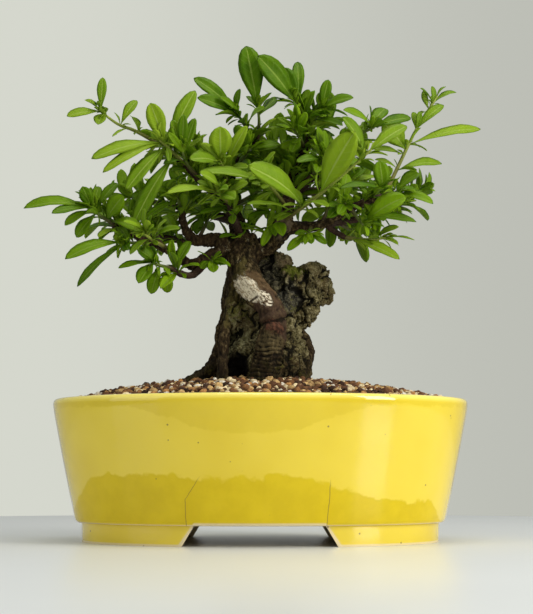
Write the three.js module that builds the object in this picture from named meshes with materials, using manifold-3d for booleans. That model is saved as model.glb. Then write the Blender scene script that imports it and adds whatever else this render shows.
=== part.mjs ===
// A firethorn bonsai grown over a rock, in an oval glazed pot. Millimetres, +Z up, seen from -Y.
// The origin is on the surface the pot stands on, under the middle of the pot.
import * as THREE from "three";
import { mergeVertices } from "three/addons/utils/BufferGeometryUtils.js";
import Module from "manifold-3d";

// Driving sizes
const RIM_HALF_LENGTH = 140;
const RIM_HALF_DEPTH = 105;
const POT_HEIGHT = 95;
const FOOT_HEIGHT = 13;
const FLOOR_THICKNESS = 8;
const BOWL_BOTTOM_INSET = 18;
const WALL = 9.5;
const LIP_HEIGHT = 3;
const WALL_LEAN = 14.5;
const FLOOR_FILLET = 5;
const FOOT_WIDTH = 10;
const FOOT_INSET = 19.5;
const FOOT_GAP_TOP = 41;
const FOOT_GAP_BOTTOM = 50;
const DRAIN_RADIUS = 9;
const DRAIN_X = 52;
const SCREEN_SIZE = 26;
const SCREEN_HOLES = 3;
const SCREEN_BAR = 2;
const SCREEN_THICKNESS = 1.6;
const SOIL_EDGE = 92.5;
const SOIL_MOUND = 15;
const SOIL_STEPS = 6;
const GRAIN_RELIEF = 1.7;
const GRAIN_SCATTER = 0.035;
const GAP = 0.35;
const BLADE_THICKNESS = 1;
const LEAF_CLEARANCE = 0.35;

const OVAL_SIDES = 32;
const FLOOR = FOOT_HEIGHT + FLOOR_THICKNESS;

const wasm = await Module();
wasm.setup();

// A repeatable number from 0 to 1 for a list of whole numbers.
function chance(...keys) {
  let h = 2166136261;
  for (const key of keys) {
    h = Math.imul(h ^ (key + 101), 16777619) >>> 0;
    h = (h ^ (h >>> 13)) >>> 0;
    h = Math.imul(h, 1540483477) >>> 0;
    h = (h ^ (h >>> 15)) >>> 0;
  }
  return h / 4294967296;
}

// Solids

function solidFrom(points, faces) {
  return new wasm.Manifold(
    new wasm.Mesh({
      numProp: 3,
      vertProperties: new Float32Array(points.flat()),
      triVerts: new Uint32Array(faces.flat()),
    }),
  );
}

function solidOf(geometry) {
  const bare = geometry.clone().deleteAttribute("normal").deleteAttribute("uv");
  const merged = mergeVertices(bare, 1e-4);
  return new wasm.Manifold(
    new wasm.Mesh({
      numProp: 3,
      vertProperties: merged.attributes.position.array,
      triVerts: new Uint32Array(merged.index.array),
    }),
  );
}

// A closed skin over a stack of rings with equal numbers of points, with a fan over each end.
function skin(rings) {
  const sides = rings[0].length;
  const points = rings.flat();
  const faces = [];
  for (let r = 0; r + 1 < rings.length; r++)
    for (let i = 0; i < sides; i++) {
      const j = (i + 1) % sides;
      const low = r * sides;
      const high = low + sides;
      faces.push([low + i, low + j, high + j], [low + i, high + j, high + i]);
    }
  const middle = (ring) => [0, 1, 2].map((k) => ring.reduce((sum, p) => sum + p[k], 0) / sides);
  const last = (rings.length - 1) * sides;
  points.push(middle(rings[0]), middle(rings.at(-1)));
  for (let i = 0; i < sides; i++) {
    const j = (i + 1) % sides;
    faces.push([points.length - 2, j, i], [points.length - 1, last + i, last + j]);
  }
  return solidFrom(points, faces);
}

function largest(solid) {
  return solid.decompose().reduce((a, b) => (b.volume() > a.volume() ? b : a));
}

function meshOf(name, solid, material) {
  const { vertProperties, triVerts } = solid.getMesh();
  const geometry = new THREE.BufferGeometry();
  geometry.setAttribute("position", new THREE.BufferAttribute(new Float32Array(vertProperties), 3));
  geometry.setIndex(new THREE.BufferAttribute(new Uint32Array(triVerts), 1));
  geometry.computeVertexNormals();
  const mesh = new THREE.Mesh(geometry, material);
  mesh.name = name;
  return mesh;
}

// Pot: one fired piece, an oval bowl that narrows downwards onto two foot walls, one round each end

// One level ring of the oval, set in from the rim's outline.
function oval(inset, z) {
  return Array.from({ length: OVAL_SIDES }, (_, i) => {
    const angle = (2 * Math.PI * i) / OVAL_SIDES;
    return [
      (RIM_HALF_LENGTH - inset) * Math.cos(angle),
      (RIM_HALF_DEPTH - inset) * Math.sin(angle),
      z,
    ];
  });
}

const LIP = POT_HEIGHT - LIP_HEIGHT;
const FILLET_TOP = FLOOR + FLOOR_FILLET;

// How far the inner wall stands in from the rim's outline at a height.
function innerWall(z) {
  return WALL + (WALL_LEAN * (LIP - z)) / (LIP - FILLET_TOP);
}

// The bowl's profile as [inset from the rim's outline, height], up the outside and down the inside.
function bowl() {
  const profile = [
    [BOWL_BOTTOM_INSET, FOOT_HEIGHT],
    [BOWL_BOTTOM_INSET - 1.8, FOOT_HEIGHT + 1.2],
    [BOWL_BOTTOM_INSET - 2.8, FOOT_HEIGHT + 4],
    [7.5, 51],
    [0, LIP],
    [1.2, POT_HEIGHT - 0.8],
    [4, POT_HEIGHT],
    [WALL - 1.9, POT_HEIGHT - 0.6],
    [innerWall(LIP), LIP],
    [innerWall(FILLET_TOP), FILLET_TOP],
    [innerWall(FILLET_TOP) + 4, FLOOR],
  ];
  return skin(profile.map(([inset, z]) => oval(inset, z)));
}

function footRing() {
  const outside = skin([oval(FOOT_INSET + 0.5, 0), oval(FOOT_INSET, FOOT_HEIGHT + 2)]);
  const inside = FOOT_INSET + FOOT_WIDTH;
  return outside.subtract(skin([oval(inside, -1), oval(inside - 0.5, FOOT_HEIGHT + 3)]));
}

// The gap between the feet, front and back: wider at the bottom.
function footGap() {
  const side = new THREE.Shape();
  side.moveTo(-FOOT_GAP_BOTTOM - 1, -1);
  side.lineTo(FOOT_GAP_BOTTOM + 1, -1);
  side.lineTo(FOOT_GAP_TOP, FOOT_HEIGHT);
  side.lineTo(FOOT_GAP_TOP - 1, FOOT_HEIGHT + 4);
  side.lineTo(1 - FOOT_GAP_TOP, FOOT_HEIGHT + 4);
  side.lineTo(-FOOT_GAP_TOP, FOOT_HEIGHT);
  side.closePath();
  const through = 2 * RIM_HALF_DEPTH;
  const prism = new THREE.ExtrudeGeometry(side, { depth: through, bevelEnabled: false });
  prism.rotateX(Math.PI / 2).translate(0, RIM_HALF_DEPTH, 0);
  return solidOf(prism);
}

function drain(x) {
  const hole = new THREE.CylinderGeometry(DRAIN_RADIUS, DRAIN_RADIUS, FLOOR_THICKNESS + 8, 12);
  hole.rotateX(Math.PI / 2).translate(x, 0, FOOT_HEIGHT + FLOOR_THICKNESS / 2);
  return solidOf(hole);
}

function pot() {
  const feet = footRing().subtract(footGap());
  return bowl().add(feet).subtract(drain(-DRAIN_X)).subtract(drain(DRAIN_X));
}

// Drain screens: a square of plastic mesh over each drain hole, under the soil

function box(x, y, z, sizeX, sizeY, sizeZ) {
  return solidOf(new THREE.BoxGeometry(sizeX, sizeY, sizeZ).translate(x, y, z + sizeZ / 2));
}

function drainScreen(x) {
  const pitch = (SCREEN_SIZE - SCREEN_BAR) / SCREEN_HOLES;
  let screen = box(x, 0, FLOOR + GAP, SCREEN_SIZE, SCREEN_SIZE, SCREEN_THICKNESS);
  for (let i = 0; i < SCREEN_HOLES; i++)
    for (let j = 0; j < SCREEN_HOLES; j++) {
      const [alongX, alongY] = [i, j].map((k) => (k - (SCREEN_HOLES - 1) / 2) * pitch);
      const hole = pitch - SCREEN_BAR;
      screen = screen.subtract(box(x + alongX, alongY, FLOOR, hole, hole, SCREEN_THICKNESS + 2));
    }
  return screen;
}

// Wood: trunk, roots, branches and twigs, grown as one piece.
// Each limb: its number of sides, then points of its middle line as [x, y, z, radius].
const LIMBS = {
  front_root: [8, [
    [-13, -6, 206, 9], [-13, -8, 196, 10.4], [-11, -14, 182, 10], [-5, -22, 170, 9.6], [5, -29, 157, 8.6],
    [9.3, -33, 143, 8], [7, -34, 129, 9], [4, -34, 116, 9.8], [1, -35, 104, 10.4], [-1, -36, 90, 9],
  ]],
  left_root: [6, [
    [-14, -9, 184, 7.8], [-16.5, -11, 168, 5.6], [-21, -13, 154, 4.6], [-25, -15, 141, 4.4],
    [-27, -16, 128, 4.8], [-31.5, -18, 116, 5.4], [-43, -20, 106.5, 5], [-55, -23, 99, 4.2],
    [-66, -25, 92, 4],
  ]],
  thin_root: [5, [
    [-19, -14, 162, 3.4], [-22, -20, 147, 3.2], [-24, -26, 132, 3.4], [-25, -30, 118, 3.6],
    [-24.5, -32, 104, 4], [-24, -33, 92, 4],
  ]],
  right_root: [6, [
    [-6, 6, 184, 9], [6, 20, 168, 7.5], [20, 27, 150, 6.5], [29, 19, 136, 6], [31, 5, 126, 5.5],
    [28.5, -7, 115, 5], [24.5, -13, 104, 5.4], [23, -16, 91, 5],
  ]],
  back_root: [5, [
    [-14, 2, 186, 9], [-19, 16, 170, 8], [-20, 28, 150, 7.5], [-22, 34, 130, 7.5], [-26, 38, 112, 8],
    [-32, 42, 100, 6.5], [-37, 45, 91, 5],
  ]],
  back_middle_root: [5, [
    [-4, 8, 178, 7], [4, 30, 158, 6], [6, 38, 138, 6], [8, 41, 120, 6.5], [10, 44, 104, 7], [12, 46, 91, 5],
  ]],
  right_limb: [7, [
    [-12, -8, 193, 10], [-2, -10, 197, 7.2], [8, -11, 201, 6], [14, -11, 211, 7], [17, -9, 222, 6.2],
    [18, -2, 235, 5.2], [20, 5, 248, 4.6], [26, 8, 261, 3.8], [33, 8, 272, 3], [33, 7, 282, 2.6],
    [30, 6, 292, 2.2],
  ]],
  left_limb: [6, [
    [-14, -6, 200, 9], [-15, -4, 211, 6.6], [-18, 0, 222, 5], [-22, 4, 234, 4], [-22, 6, 246, 3.2],
    [-17, 8, 258, 2.7], [-9, 6, 270, 2.3], [-3, 3, 276, 2],
  ]],
  left_branch: [6, [
    [-16, -8, 199, 7.5], [-30, -10, 203, 5], [-43, -10, 203, 4], [-50, -9, 209, 3.2], [-53, -9, 217, 2.6],
    [-53, -10, 222, 2.1],
  ]],
  left_long_branch: [5, [
    [-22, -10, 196, 6], [-36, -16, 190, 4.2], [-46, -20, 185, 3.8], [-55, -23, 190, 3.2],
    [-66, -26, 196, 2.8], [-80, -28, 201, 2.4], [-92, -29, 207, 2.1], [-98, -30, 210, 1.8],
  ]],
  left_low_twig: [5, [
    [-38, -17, 188, 3.2], [-41, -22, 181, 2.8], [-47, -25, 177, 2.5], [-54, -28, 178, 2.3],
    [-60, -32, 181, 1.9],
  ]],
  upper_left_branch: [5, [
    [-21, 3, 232, 3.4], [-34, -8, 238, 2.8], [-44, -15, 246, 2.4], [-51, -21, 253, 2],
  ]],
  far_left_twig: [4, [[-42, -14, 245, 2.2], [-54, -14, 256, 1.9], [-67, -19, 267, 1.5]]],
  right_branch: [5, [
    [16, -10, 212, 5], [30, -14, 211, 3.3], [42, -18, 213, 2.8], [55, -22, 219, 2.6], [68, -25, 226, 2.3],
    [79, -26, 229, 1.9],
  ]],
  right_low_twig: [4, [[44, -18, 213, 2.5], [51, -20, 207, 2.2], [57, -22, 203, 1.9]]],
  right_shoot_twig: [4, [[64, -24, 224, 2.3], [76, -16, 230, 2], [86, -7, 236, 1.8]]],
  right_top_branch: [5, [
    [17, -4, 232, 4], [32, -6, 244, 3.2], [44, -6, 256, 2.6], [52, -6, 265, 2.2], [57, -6, 271, 1.9],
  ]],
  back_left_branch: [5, [
    [-17, 0, 218, 4.2], [-30, 16, 224, 3.4], [-46, 32, 230, 2.8], [-62, 44, 236, 2.3], [-75, 51, 240, 1.9],
  ]],
  back_branch: [5, [
    [17, 0, 234, 4.2], [12, 18, 240, 3.4], [6, 36, 246, 2.8], [2, 52, 252, 2.3], [0, 63, 256, 1.9],
  ]],
  back_right_branch: [5, [[18, 0, 238, 4], [34, 18, 242, 3.3], [50, 34, 246, 2.6], [65, 45, 250, 1.9]]],
  low_left_branch: [5, [
    [-18, 2, 204, 4.4], [-38, 12, 206, 3.4], [-56, 22, 208, 2.8], [-76, 26, 212, 2.3], [-91, 26, 218, 1.9],
  ]],
  low_right_branch: [5, [
    [14, -6, 213, 4.4], [34, 8, 216, 3.3], [54, 18, 220, 2.8], [76, 22, 225, 2.3], [91, 20, 230, 1.9],
  ]],
  front_twig: [4, [[-13, -12, 206, 3.4], [-18, -18, 217, 2.6], [-22, -23, 227, 1.9]]],
};

// Burls and the swollen scar of an old cut: [x, y, z, radius].
const BURLS = [[15, -14, 213, 7], [8, -38, 140, 6]];
const BURL_ROUGHNESS = 0.08;

function curveThrough(points) {
  const stops = points.map(([x, y, z]) => new THREE.Vector3(x, y, z));
  return new THREE.CatmullRomCurve3(stops, false, "catmullrom");
}

// A round tube that follows a list of [x, y, z, radius], with one ring at each point, larger all round
// by extra.
function taperedTube(line, sides, extra) {
  const curve = curveThrough(line);
  const last = line.length - 1;
  const ahead = new THREE.Vector3();
  const across = new THREE.Vector3(0.31, 0.9, 0.3);
  const over = new THREE.Vector3();
  const rings = line.map(([, , , radius], i) => {
    const at = curve.getPoint(i / last);
    curve.getTangent(i / last, ahead);
    over.crossVectors(ahead, across).normalize();
    across.crossVectors(over, ahead).normalize();
    if (i === 0) at.addScaledVector(ahead, -extra);
    if (i === last) at.addScaledVector(ahead, extra);
    return Array.from({ length: sides }, (_, k) => {
      const angle = (2 * Math.PI * k) / sides;
      return at
        .clone()
        .addScaledVector(across, (radius + extra) * Math.cos(angle))
        .addScaledVector(over, (radius + extra) * Math.sin(angle))
        .toArray();
    });
  });
  return skin(rings);
}

// A ball with its corners pushed in and out at random.
function boulder([x, y, z], [radiusX, radiusY, radiusZ], detail, roughness, seed, extra) {
  const ball = new THREE.IcosahedronGeometry(1, detail);
  const bare = ball.deleteAttribute("normal").deleteAttribute("uv");
  const merged = mergeVertices(bare, 1e-4);
  const corners = merged.attributes.position;
  for (let i = 0; i < corners.count; i++) {
    const swell = 1 + roughness * (2 * chance(seed, i) - 1);
    corners.setXYZ(
      i,
      x + corners.getX(i) * (radiusX * swell + extra),
      y + corners.getY(i) * (radiusY * swell + extra),
      z + corners.getZ(i) * (radiusZ * swell + extra),
    );
  }
  return solidOf(merged);
}

function wood(extra) {
  const tubes = Object.values(LIMBS).map(([sides, line]) => taperedTube(line, sides, extra));
  const burls = BURLS.map(([x, y, z, radius], i) =>
    boulder([x, y, z], [radius, radius, radius], 1, BURL_ROUGHNESS, 40 + i, extra),
  );
  return wasm.Manifold.union([...tubes, ...burls]);
}

// Rock: one craggy stone, from overlapping lumps as [centre, half sizes, detail].
const LUMPS = [
  [[3, 2, 148], [27.5, 27, 46], 2],
  [[-4, 0, 117], [27, 30, 30], 1],
  [[14, 4, 116], [21, 26, 30], 1],
  [[36, -2, 174], [14, 13, 16], 1],
  [[27, 0, 160], [14, 15, 17], 1],
  [[10.5, -1, 184], [12, 12, 14], 1],
];
const CRAG = 0.11;
const ROCK_BOTTOM = 86.5;

function rock(extra) {
  const lumps = LUMPS.map(([centre, halves, detail], i) => boulder(centre, halves, detail, CRAG, i, extra));
  const buried = box(0, 0, 0, 2 * RIM_HALF_LENGTH, 2 * RIM_HALF_LENGTH, ROCK_BOTTOM - extra);
  return wasm.Manifold.union(lumps).subtract(buried);
}

// Soil: the whole filling of the pot, mounded to the rock, its top rough with grains

function soil() {
  const clear = (z) => innerWall(z) + GAP + 0.15;
  const rings = [
    oval(innerWall(FILLET_TOP) + 5 + GAP, FLOOR + GAP),
    oval(clear(FILLET_TOP), FILLET_TOP + 0.5),
    oval(clear(SOIL_EDGE - 2), SOIL_EDGE - 2),
    oval(clear(SOIL_EDGE), SOIL_EDGE),
  ];
  for (let k = 1; k < SOIL_STEPS; k++)
    rings.push(oval(clear(SOIL_EDGE), 0).map(([x, y], i) => {
      const even = 1 - k / SOIL_STEPS;
      const share = even + GRAIN_SCATTER * (2 * chance(120 + k, i) - 1);
      const height = SOIL_EDGE + SOIL_MOUND * (1 - even ** 2.2);
      return [x * share, y * share, height + GRAIN_RELIEF * (2 * chance(90 + k, i) - 1)];
    }));
  return skin(rings);
}

// Foliage. Each spray is one green stem with its leaves, and the stem's foot meets the wood.
// A spray: kind of leaf, number of leaves set by rule, their length, the stem's points, and leaves
// set by hand as [share of the stem, tip x, y, z, width, face]. Face turns the blade from flat, at 0,
// to facing the front, at 90.
const SPRAYS = {
  far_left_shoot: ["young", 2, 12, [[-66, -19, 266], [-84, -26, 275], [-96, -30, 279], [-110, -34, 289]], [
    [1, -129, -40, 282, 9, 60], [0.98, -106, -34, 310, 7, 80], [0.9, -108, -41, 276, 9, 70],
    [0.62, -84, -23, 297, 8, 60], [0.45, -99, -36, 269, 3, 40], [0.3, -86, -44, 281, 8, 50],
  ]],
  upper_left: ["young", 3, 24, [[-52, -22, 254], [-59, -30, 260], [-67, -38, 266]], [
    [0.8, -73, -44, 290, 14, 80], [0.7, -44, -30, 302, 12, 70], [1, -111, -50, 251, 13, 55],
    [0.9, -103, -54, 241, 9, 60], [0.75, -88, -50, 230, 12, 65], [0.4, -84, -40, 209, 12, 75],
  ]],
  left_bud: ["mature", 2, 18, [[-44, -18, 247], [-50, -28, 253], [-53, -33, 262]], [
    [1, -59, -38, 280, 8, 80], [0.9, -51, -36, 282, 8, 90], [0.8, -61, -44, 270, 6, 80],
    [0.7, -44, -30, 283, 8, 70],
  ]],
  left_end: ["mature", 2, 22, [[-97, -30, 210], [-107, -36, 216], [-113, -40, 221]], [
    [1, -156, -44, 219, 13, 50], [0.9, -136, -54, 214, 9, 45], [0.8, -129, -42, 208, 9, 50],
    [0.6, -122, -36, 201, 10, 60], [0.9, -117, -48, 233, 10, 80], [0.8, -108, -32, 236, 8, 80],
    [0.7, -96, -28, 239, 8, 70], [0.3, -90, -47, 227, 13, 80], [0.2, -78, -52, 202, 12, 50],
  ]],
  left_low: ["mature", 2, 24, [[-78, -29, 198], [-84, -38, 197], [-90, -46, 196]], [
    [1, -126, -60, 183, 13, 50], [0.8, -121, -36, 168, 7, 60], [0.6, -104, -36, 185, 9, 40],
  ]],
  lower_left: ["mature", 2, 20, [[-60, -33, 181], [-66, -37, 182], [-71, -41, 183]], [
    [1, -93, -46, 179, 7, 40], [0.9, -79, -54, 168, 11, 60], [0.5, -72, -38, 163, 10, 65],
    [0.2, -62, -28, 165, 9, 70], [0.7, -81, -47, 192, 11, 60],
  ]],
  left_mid: ["young", 4, 20, [[-65, -30, 196], [-71, -46, 198], [-75, -56, 200]], [
    [0.9, -88, -68, 206, 9, 45], [0.5, -52, -60, 203, 9, 50],
  ]],
  under_left: ["mature", 1, 12, [[-34, -17, 188], [-33, -23, 187], [-32, -27, 186]], [
    [0.9, -31, -32, 178, 8, 80], [0.6, -22, -30, 184, 7, 70], [0.6, -40, -30, 181, 7, 70],
  ]],
  left_inner: ["mature", 3, 20, [[-53, -10, 222], [-55, -18, 227], [-57, -22, 232]], [
    [1, -76, -28, 236, 9, 45], [0.7, -77, -32, 214, 7, 60],
  ]],
  front_left: ["young", 4, 24, [[-22, -24, 227], [-25, -40, 228], [-29, -52, 228]], [
    [1, -60, -70, 224, 10, 40], [0.6, -39, -68, 238, 12, 60],
  ]],
  mid_left: ["young", 3, 24, [[-23, 2, 245], [-25, -16, 250], [-27, -28, 254]], [
    [1, -27, -36, 276, 17, 85], [0.8, -47, -44, 252, 12, 65], [0.5, -9, -30, 278, 9, 80],
  ]],
  top_left: ["mature", 3, 24, [[-5, 4, 276], [-12, -4, 286], [-17, -8, 293]], [
    [1, -46, -10, 316, 12, 65], [0.8, -43, -22, 299, 12, 65], [0.3, 3, -26, 291, 10, 60],
    [0.6, -28, -20, 300, 9, 50],
  ]],
  top_tall: ["mature", 1, 22, [[-2, 2, 277], [-1, -2, 287], [-2, -7, 296]], [
    [1, -10, -12, 338, 18, 85], [0.7, 11, 8, 306, 8, 70],
  ]],
  top_apex: ["mature", 2, 22, [[30, 6, 292], [27, 2, 297], [24, -3, 300]], [
    [1, -2, -20, 329, 18, 75], [0.8, 16, -4, 325, 13, 75], [0.6, 26, 10, 333, 10, 80],
  ]],
  top_right: ["mature", 4, 22, [[32, 7, 287], [37, 4, 292], [43, 1, 297]], [
    [1, 47, -2, 317, 9, 80], [0.8, 64, -10, 302, 11, 55], [0.3, 56, -16, 281, 9, 45],
  ]],
  right_top: ["mature", 3, 22, [[56, -6, 270], [68, -8, 277], [78, -11, 281]], [
    [1, 56, -24, 290, 11, 50], [0.8, 87, 4, 298, 11, 60], [0.9, 104, -2, 290, 10, 60],
  ]],
  front_shoot: ["young", 2, 16, [[17, -19, 216], [34, -40, 225], [55, -56, 240], [72, -65, 254]], [
    [0.42, 61, -74, 264, 20, 75], [0.24, -8, -66, 243, 19, 65], [0.14, -9, -54, 220, 9, 40],
    [0.2, 44, -66, 216, 9, 40], [1, 96, -68, 268, 12, 60], [0.95, 53, -72, 274, 11, 45],
  ]],
  right_shoot: ["young", 3, 14, [
    [85, -8, 235], [95, 2, 256], [105, 10, 277], [113, 14, 292], [125, 18, 310],
  ], [
    [0.45, 156, 24, 288, 10, 55], [0.22, 127, 14, 261, 10, 55], [0.4, 85, 0, 287, 18, 80],
    [0.62, 129, 24, 301, 9, 60], [1, 139, 22, 314, 7, 40], [0.98, 112, 10, 314, 6, 30],
    [0.36, 77, 2, 269, 7, 50], [0.24, 79, 0, 261, 6, 45],
  ]],
  right_end: ["mature", 3, 22, [[78, -26, 228], [86, -32, 231], [91, -36, 231]], [
    [1, 114, -44, 222, 10, 45], [0.3, 80, -30, 254, 12, 80], [0.5, 52, -50, 231, 9, 40],
  ]],
  right_big: ["mature", 1, 20, [[61, -27, 221], [65, -34, 214], [68, -38, 209]], [
    [1, 96, -48, 226, 17, 60], [0.6, 104, -32, 212, 9, 50],
  ]],
  right_low: ["young", 2, 18, [[58, -22, 203], [71, -26, 201], [84, -28, 202]], [
    [0.1, 92, -38, 186, 10, 50], [1, 103, -30, 200, 4, 30], [0.3, 70, -42, 210, 9, 60],
    [0.7, 92, -36, 208, 7, 50],
  ]],
  under_right: ["mature", 1, 12, [[34, -19, 210], [33, -24, 207], [32, -27, 205]], [
    [1, 18, -30, 193, 7, 75], [0.7, 34, -33, 197, 6, 80], [0.6, 44, -32, 197, 6, 75],
  ]],
  centre_high: ["mature", 6, 28, [[-19, 6, 254], [-12, -4, 260], [-7, -12, 266]], [
    [0.8, -36, -38, 246, 9, 40],
  ]],
  centre_front: ["young", 5, 26, [[16, -12, 228], [8, -26, 236], [1, -34, 243]], [
    [0.55, -39, -60, 239, 13, 50],
  ]],
  centre_right: ["mature", 6, 28, [[33, -10, 244], [39, -24, 250], [43, -34, 256]], [
    [0.9, 24, -44, 250, 8, 60],
  ]],
  centre_middle: ["mature", 6, 28, [[-18, 1, 229], [-7, -7, 234], [2, -11, 239]], []],
  centre_deep: ["mature", 6, 28, [[18, -1, 237], [7, 3, 247], [-1, 5, 256]], []],
  right_inner: ["mature", 6, 26, [[43, -17, 217], [47, -12, 227], [50, -8, 236]], []],
  right_front: ["mature", 4, 26, [[50, -24, 218], [53, -36, 221], [56, -46, 222]], []],
  right_upper: ["mature", 5, 28, [[47, -4, 260], [56, 10, 263], [64, 18, 267]], []],
  apex_back: ["mature", 5, 28, [[34, 10, 278], [40, 22, 285], [44, 30, 290]], []],
  apex_left: ["mature", 5, 28, [[24, 12, 263], [13, 22, 271], [5, 28, 279]], []],
  apex_front: ["mature", 5, 26, [[30, 3, 270], [27, -10, 274], [22, -20, 278]], []],
  left_limb_back: ["mature", 5, 28, [[-24, 10, 246], [-36, 22, 255], [-45, 28, 261]], []],
  left_limb_side: ["mature", 5, 28, [[-24, 6, 252], [-38, 2, 263], [-46, 0, 272]], []],
  back_left_end: ["mature", 5, 29, [[-74, 50, 240], [-88, 57, 243], [-98, 60, 247]], []],
  back_left_mid: ["mature", 4, 28, [[-47, 34, 233], [-50, 46, 243], [-52, 54, 250]], []],
  back_end: ["mature", 5, 28, [[0, 62, 256], [-4, 69, 260], [-8, 73, 265]], []],
  back_mid: ["mature", 4, 28, [[7, 37, 249], [14, 44, 261], [19, 48, 271]], []],
  back_mid_low: ["mature", 4, 28, [[4, 44, 247], [-12, 54, 240], [-22, 61, 238]], []],
  back_right_end: ["mature", 5, 29, [[64, 44, 250], [77, 53, 253], [87, 58, 257]], []],
  back_right_mid: ["mature", 4, 28, [[51, 36, 249], [51, 42, 261], [54, 45, 271]], []],
  back_right_low: ["mature", 5, 28, [[48, 36, 244], [50, 50, 235], [54, 58, 231]], []],
  low_left_end: ["mature", 5, 28, [[-90, 26, 217], [-105, 27, 223], [-116, 27, 229]], []],
  low_left_back: ["mature", 4, 26, [[-58, 25, 209], [-64, 40, 210], [-70, 50, 211]], []],
  low_left_up: ["mature", 5, 26, [[-74, 24, 214], [-77, 16, 225], [-77, 12, 234]], []],
  low_right_end: ["mature", 5, 28, [[90, 20, 229], [103, 21, 236], [113, 21, 242]], []],
  low_right_back: ["mature", 4, 26, [[55, 21, 220], [64, 37, 218], [71, 47, 218]], []],
  low_right_front: ["mature", 5, 26, [[77, 20, 226], [89, 8, 228], [96, 0, 229]], []],
  left_branch_top: ["mature", 5, 26, [[-41, -8, 207], [-37, 0, 217], [-35, 4, 225]], []],
  left_long_top: ["mature", 5, 24, [[-67, -24, 199], [-72, -13, 210], [-74, -8, 218]], []],
};
const STEM_FOOT_RADIUS = 1.9;
const STEM_SET = 2.6;
const STEM_TIP_RADIUS = 1.3;
const STEM_SIDES = 3;
const LAST_FOOT = 0.93;
const TRIES = 14;
const NUDGE = 4;
const OWN_OVERLAP = { byHand: 6, byRule: 1.5 };
const WOOD_OVERLAP = 0.8;
const TURN = 137.5;
const TRY_TURN = 47;

const radians = THREE.MathUtils.degToRad;

// The pose of a blade from its foot, its tip and the direction that its upper face turns to.
function blade(foot, tip, facing, width, arch, fold) {
  const along = tip.clone().sub(foot);
  const length = along.length();
  along.normalize();
  const up = facing.clone().addScaledVector(along, -facing.dot(along)).normalize();
  const side = new THREE.Vector3().crossVectors(along, up);
  return { foot, tip, along, up, side, length, width, arch, fold };
}

// A point of a blade: share of its length, share of its half width, and height over its middle sheet.
function bladePoint(leaf, share, half, lift) {
  const spread = half * leaf.width * 0.5;
  const rise = leaf.arch * leaf.length * Math.sin(Math.PI * share);
  return leaf.foot
    .clone()
    .addScaledVector(leaf.along, leaf.length * share)
    .addScaledVector(leaf.side, spread * Math.cos(leaf.fold))
    .addScaledVector(leaf.up, rise + Math.abs(spread) * Math.sin(leaf.fold) + lift)
    .toArray();
}

// Where a blade's corners stand, as [share of the length, share of the half width], for blades up to
// a length.
const STATIONS = [
  [21.5, [[0.6, 1]]],
  [37, [[0.36, 0.74], [0.72, 1]]],
  [Infinity, [[0.28, 0.52], [0.56, 1], [0.83, 0.72]]],
];

// The whole blade, larger all round by extra. The stalk starts as an upright edge inside the stem, and
// each station is a thin diamond: left edge, right edge, top and underside of the rib.
function bladeSolid(leaf, extra) {
  const [, stations] = STATIONS.find(([longest]) => leaf.length < longest);
  const thick = BLADE_THICKNESS / 2 + extra;
  const points = [
    bladePoint(leaf, 1 + extra / leaf.length, 0, 0),
    bladePoint(leaf, 0, 0, thick),
    bladePoint(leaf, 0, 0, -thick),
  ];
  for (const [share, half] of stations) {
    const edge = half + (2 * extra) / leaf.width;
    points.push(
      bladePoint(leaf, share, -edge, 0),
      bladePoint(leaf, share, edge, 0),
      bladePoint(leaf, share, 0, thick),
      bladePoint(leaf, share, 0, -thick),
    );
  }
  const faces = [];
  const [tip, footTop, footUnder] = [0, 1, 2];
  const corner = (station, kind) => 3 + 4 * station + kind;
  const [left, right, top, under] = [0, 1, 2, 3];
  const last = stations.length - 1;
  faces.push([footTop, corner(0, right), corner(0, top)], [footTop, corner(0, top), corner(0, left)]);
  faces.push([footUnder, corner(0, under), corner(0, right)], [footUnder, corner(0, left), corner(0, under)]);
  faces.push([footTop, footUnder, corner(0, right)], [footTop, corner(0, left), footUnder]);
  for (let k = 0; k < last; k++)
    for (const [sheet, flip] of [[top, false], [under, true]]) {
      const quads = [
        [corner(k, right), corner(k + 1, right), corner(k + 1, sheet)],
        [corner(k, right), corner(k + 1, sheet), corner(k, sheet)],
        [corner(k, left), corner(k + 1, sheet), corner(k + 1, left)],
        [corner(k, left), corner(k, sheet), corner(k + 1, sheet)],
      ];
      for (const [a, b, c] of quads) faces.push(flip ? [a, c, b] : [a, b, c]);
    }
  faces.push([corner(last, right), tip, corner(last, top)], [corner(last, top), tip, corner(last, left)]);
  faces.push([corner(last, under), tip, corner(last, right)], [corner(last, left), tip, corner(last, under)]);
  return solidFrom(points, faces);
}

// A leaf set by hand. Later tries move its tip nearer or further, and a little higher.
function handLeaf(curve, [share, x, y, z, width, face], seed, attempt) {
  const shift = Math.ceil(attempt / 2) * (attempt % 2 ? NUDGE : -NUDGE);
  const tip = new THREE.Vector3(x, y + shift, z + 0.3 * Math.abs(shift));
  const facing = new THREE.Vector3(0, -Math.sin(radians(face)), Math.cos(radians(face)));
  const arch = 0.05 + 0.06 * chance(seed, 1);
  const fold = radians(14 + 14 * chance(seed, 2));
  return blade(curve.getPoint(Math.min(share, LAST_FOOT)), tip, facing, width, arch, fold);
}

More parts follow.
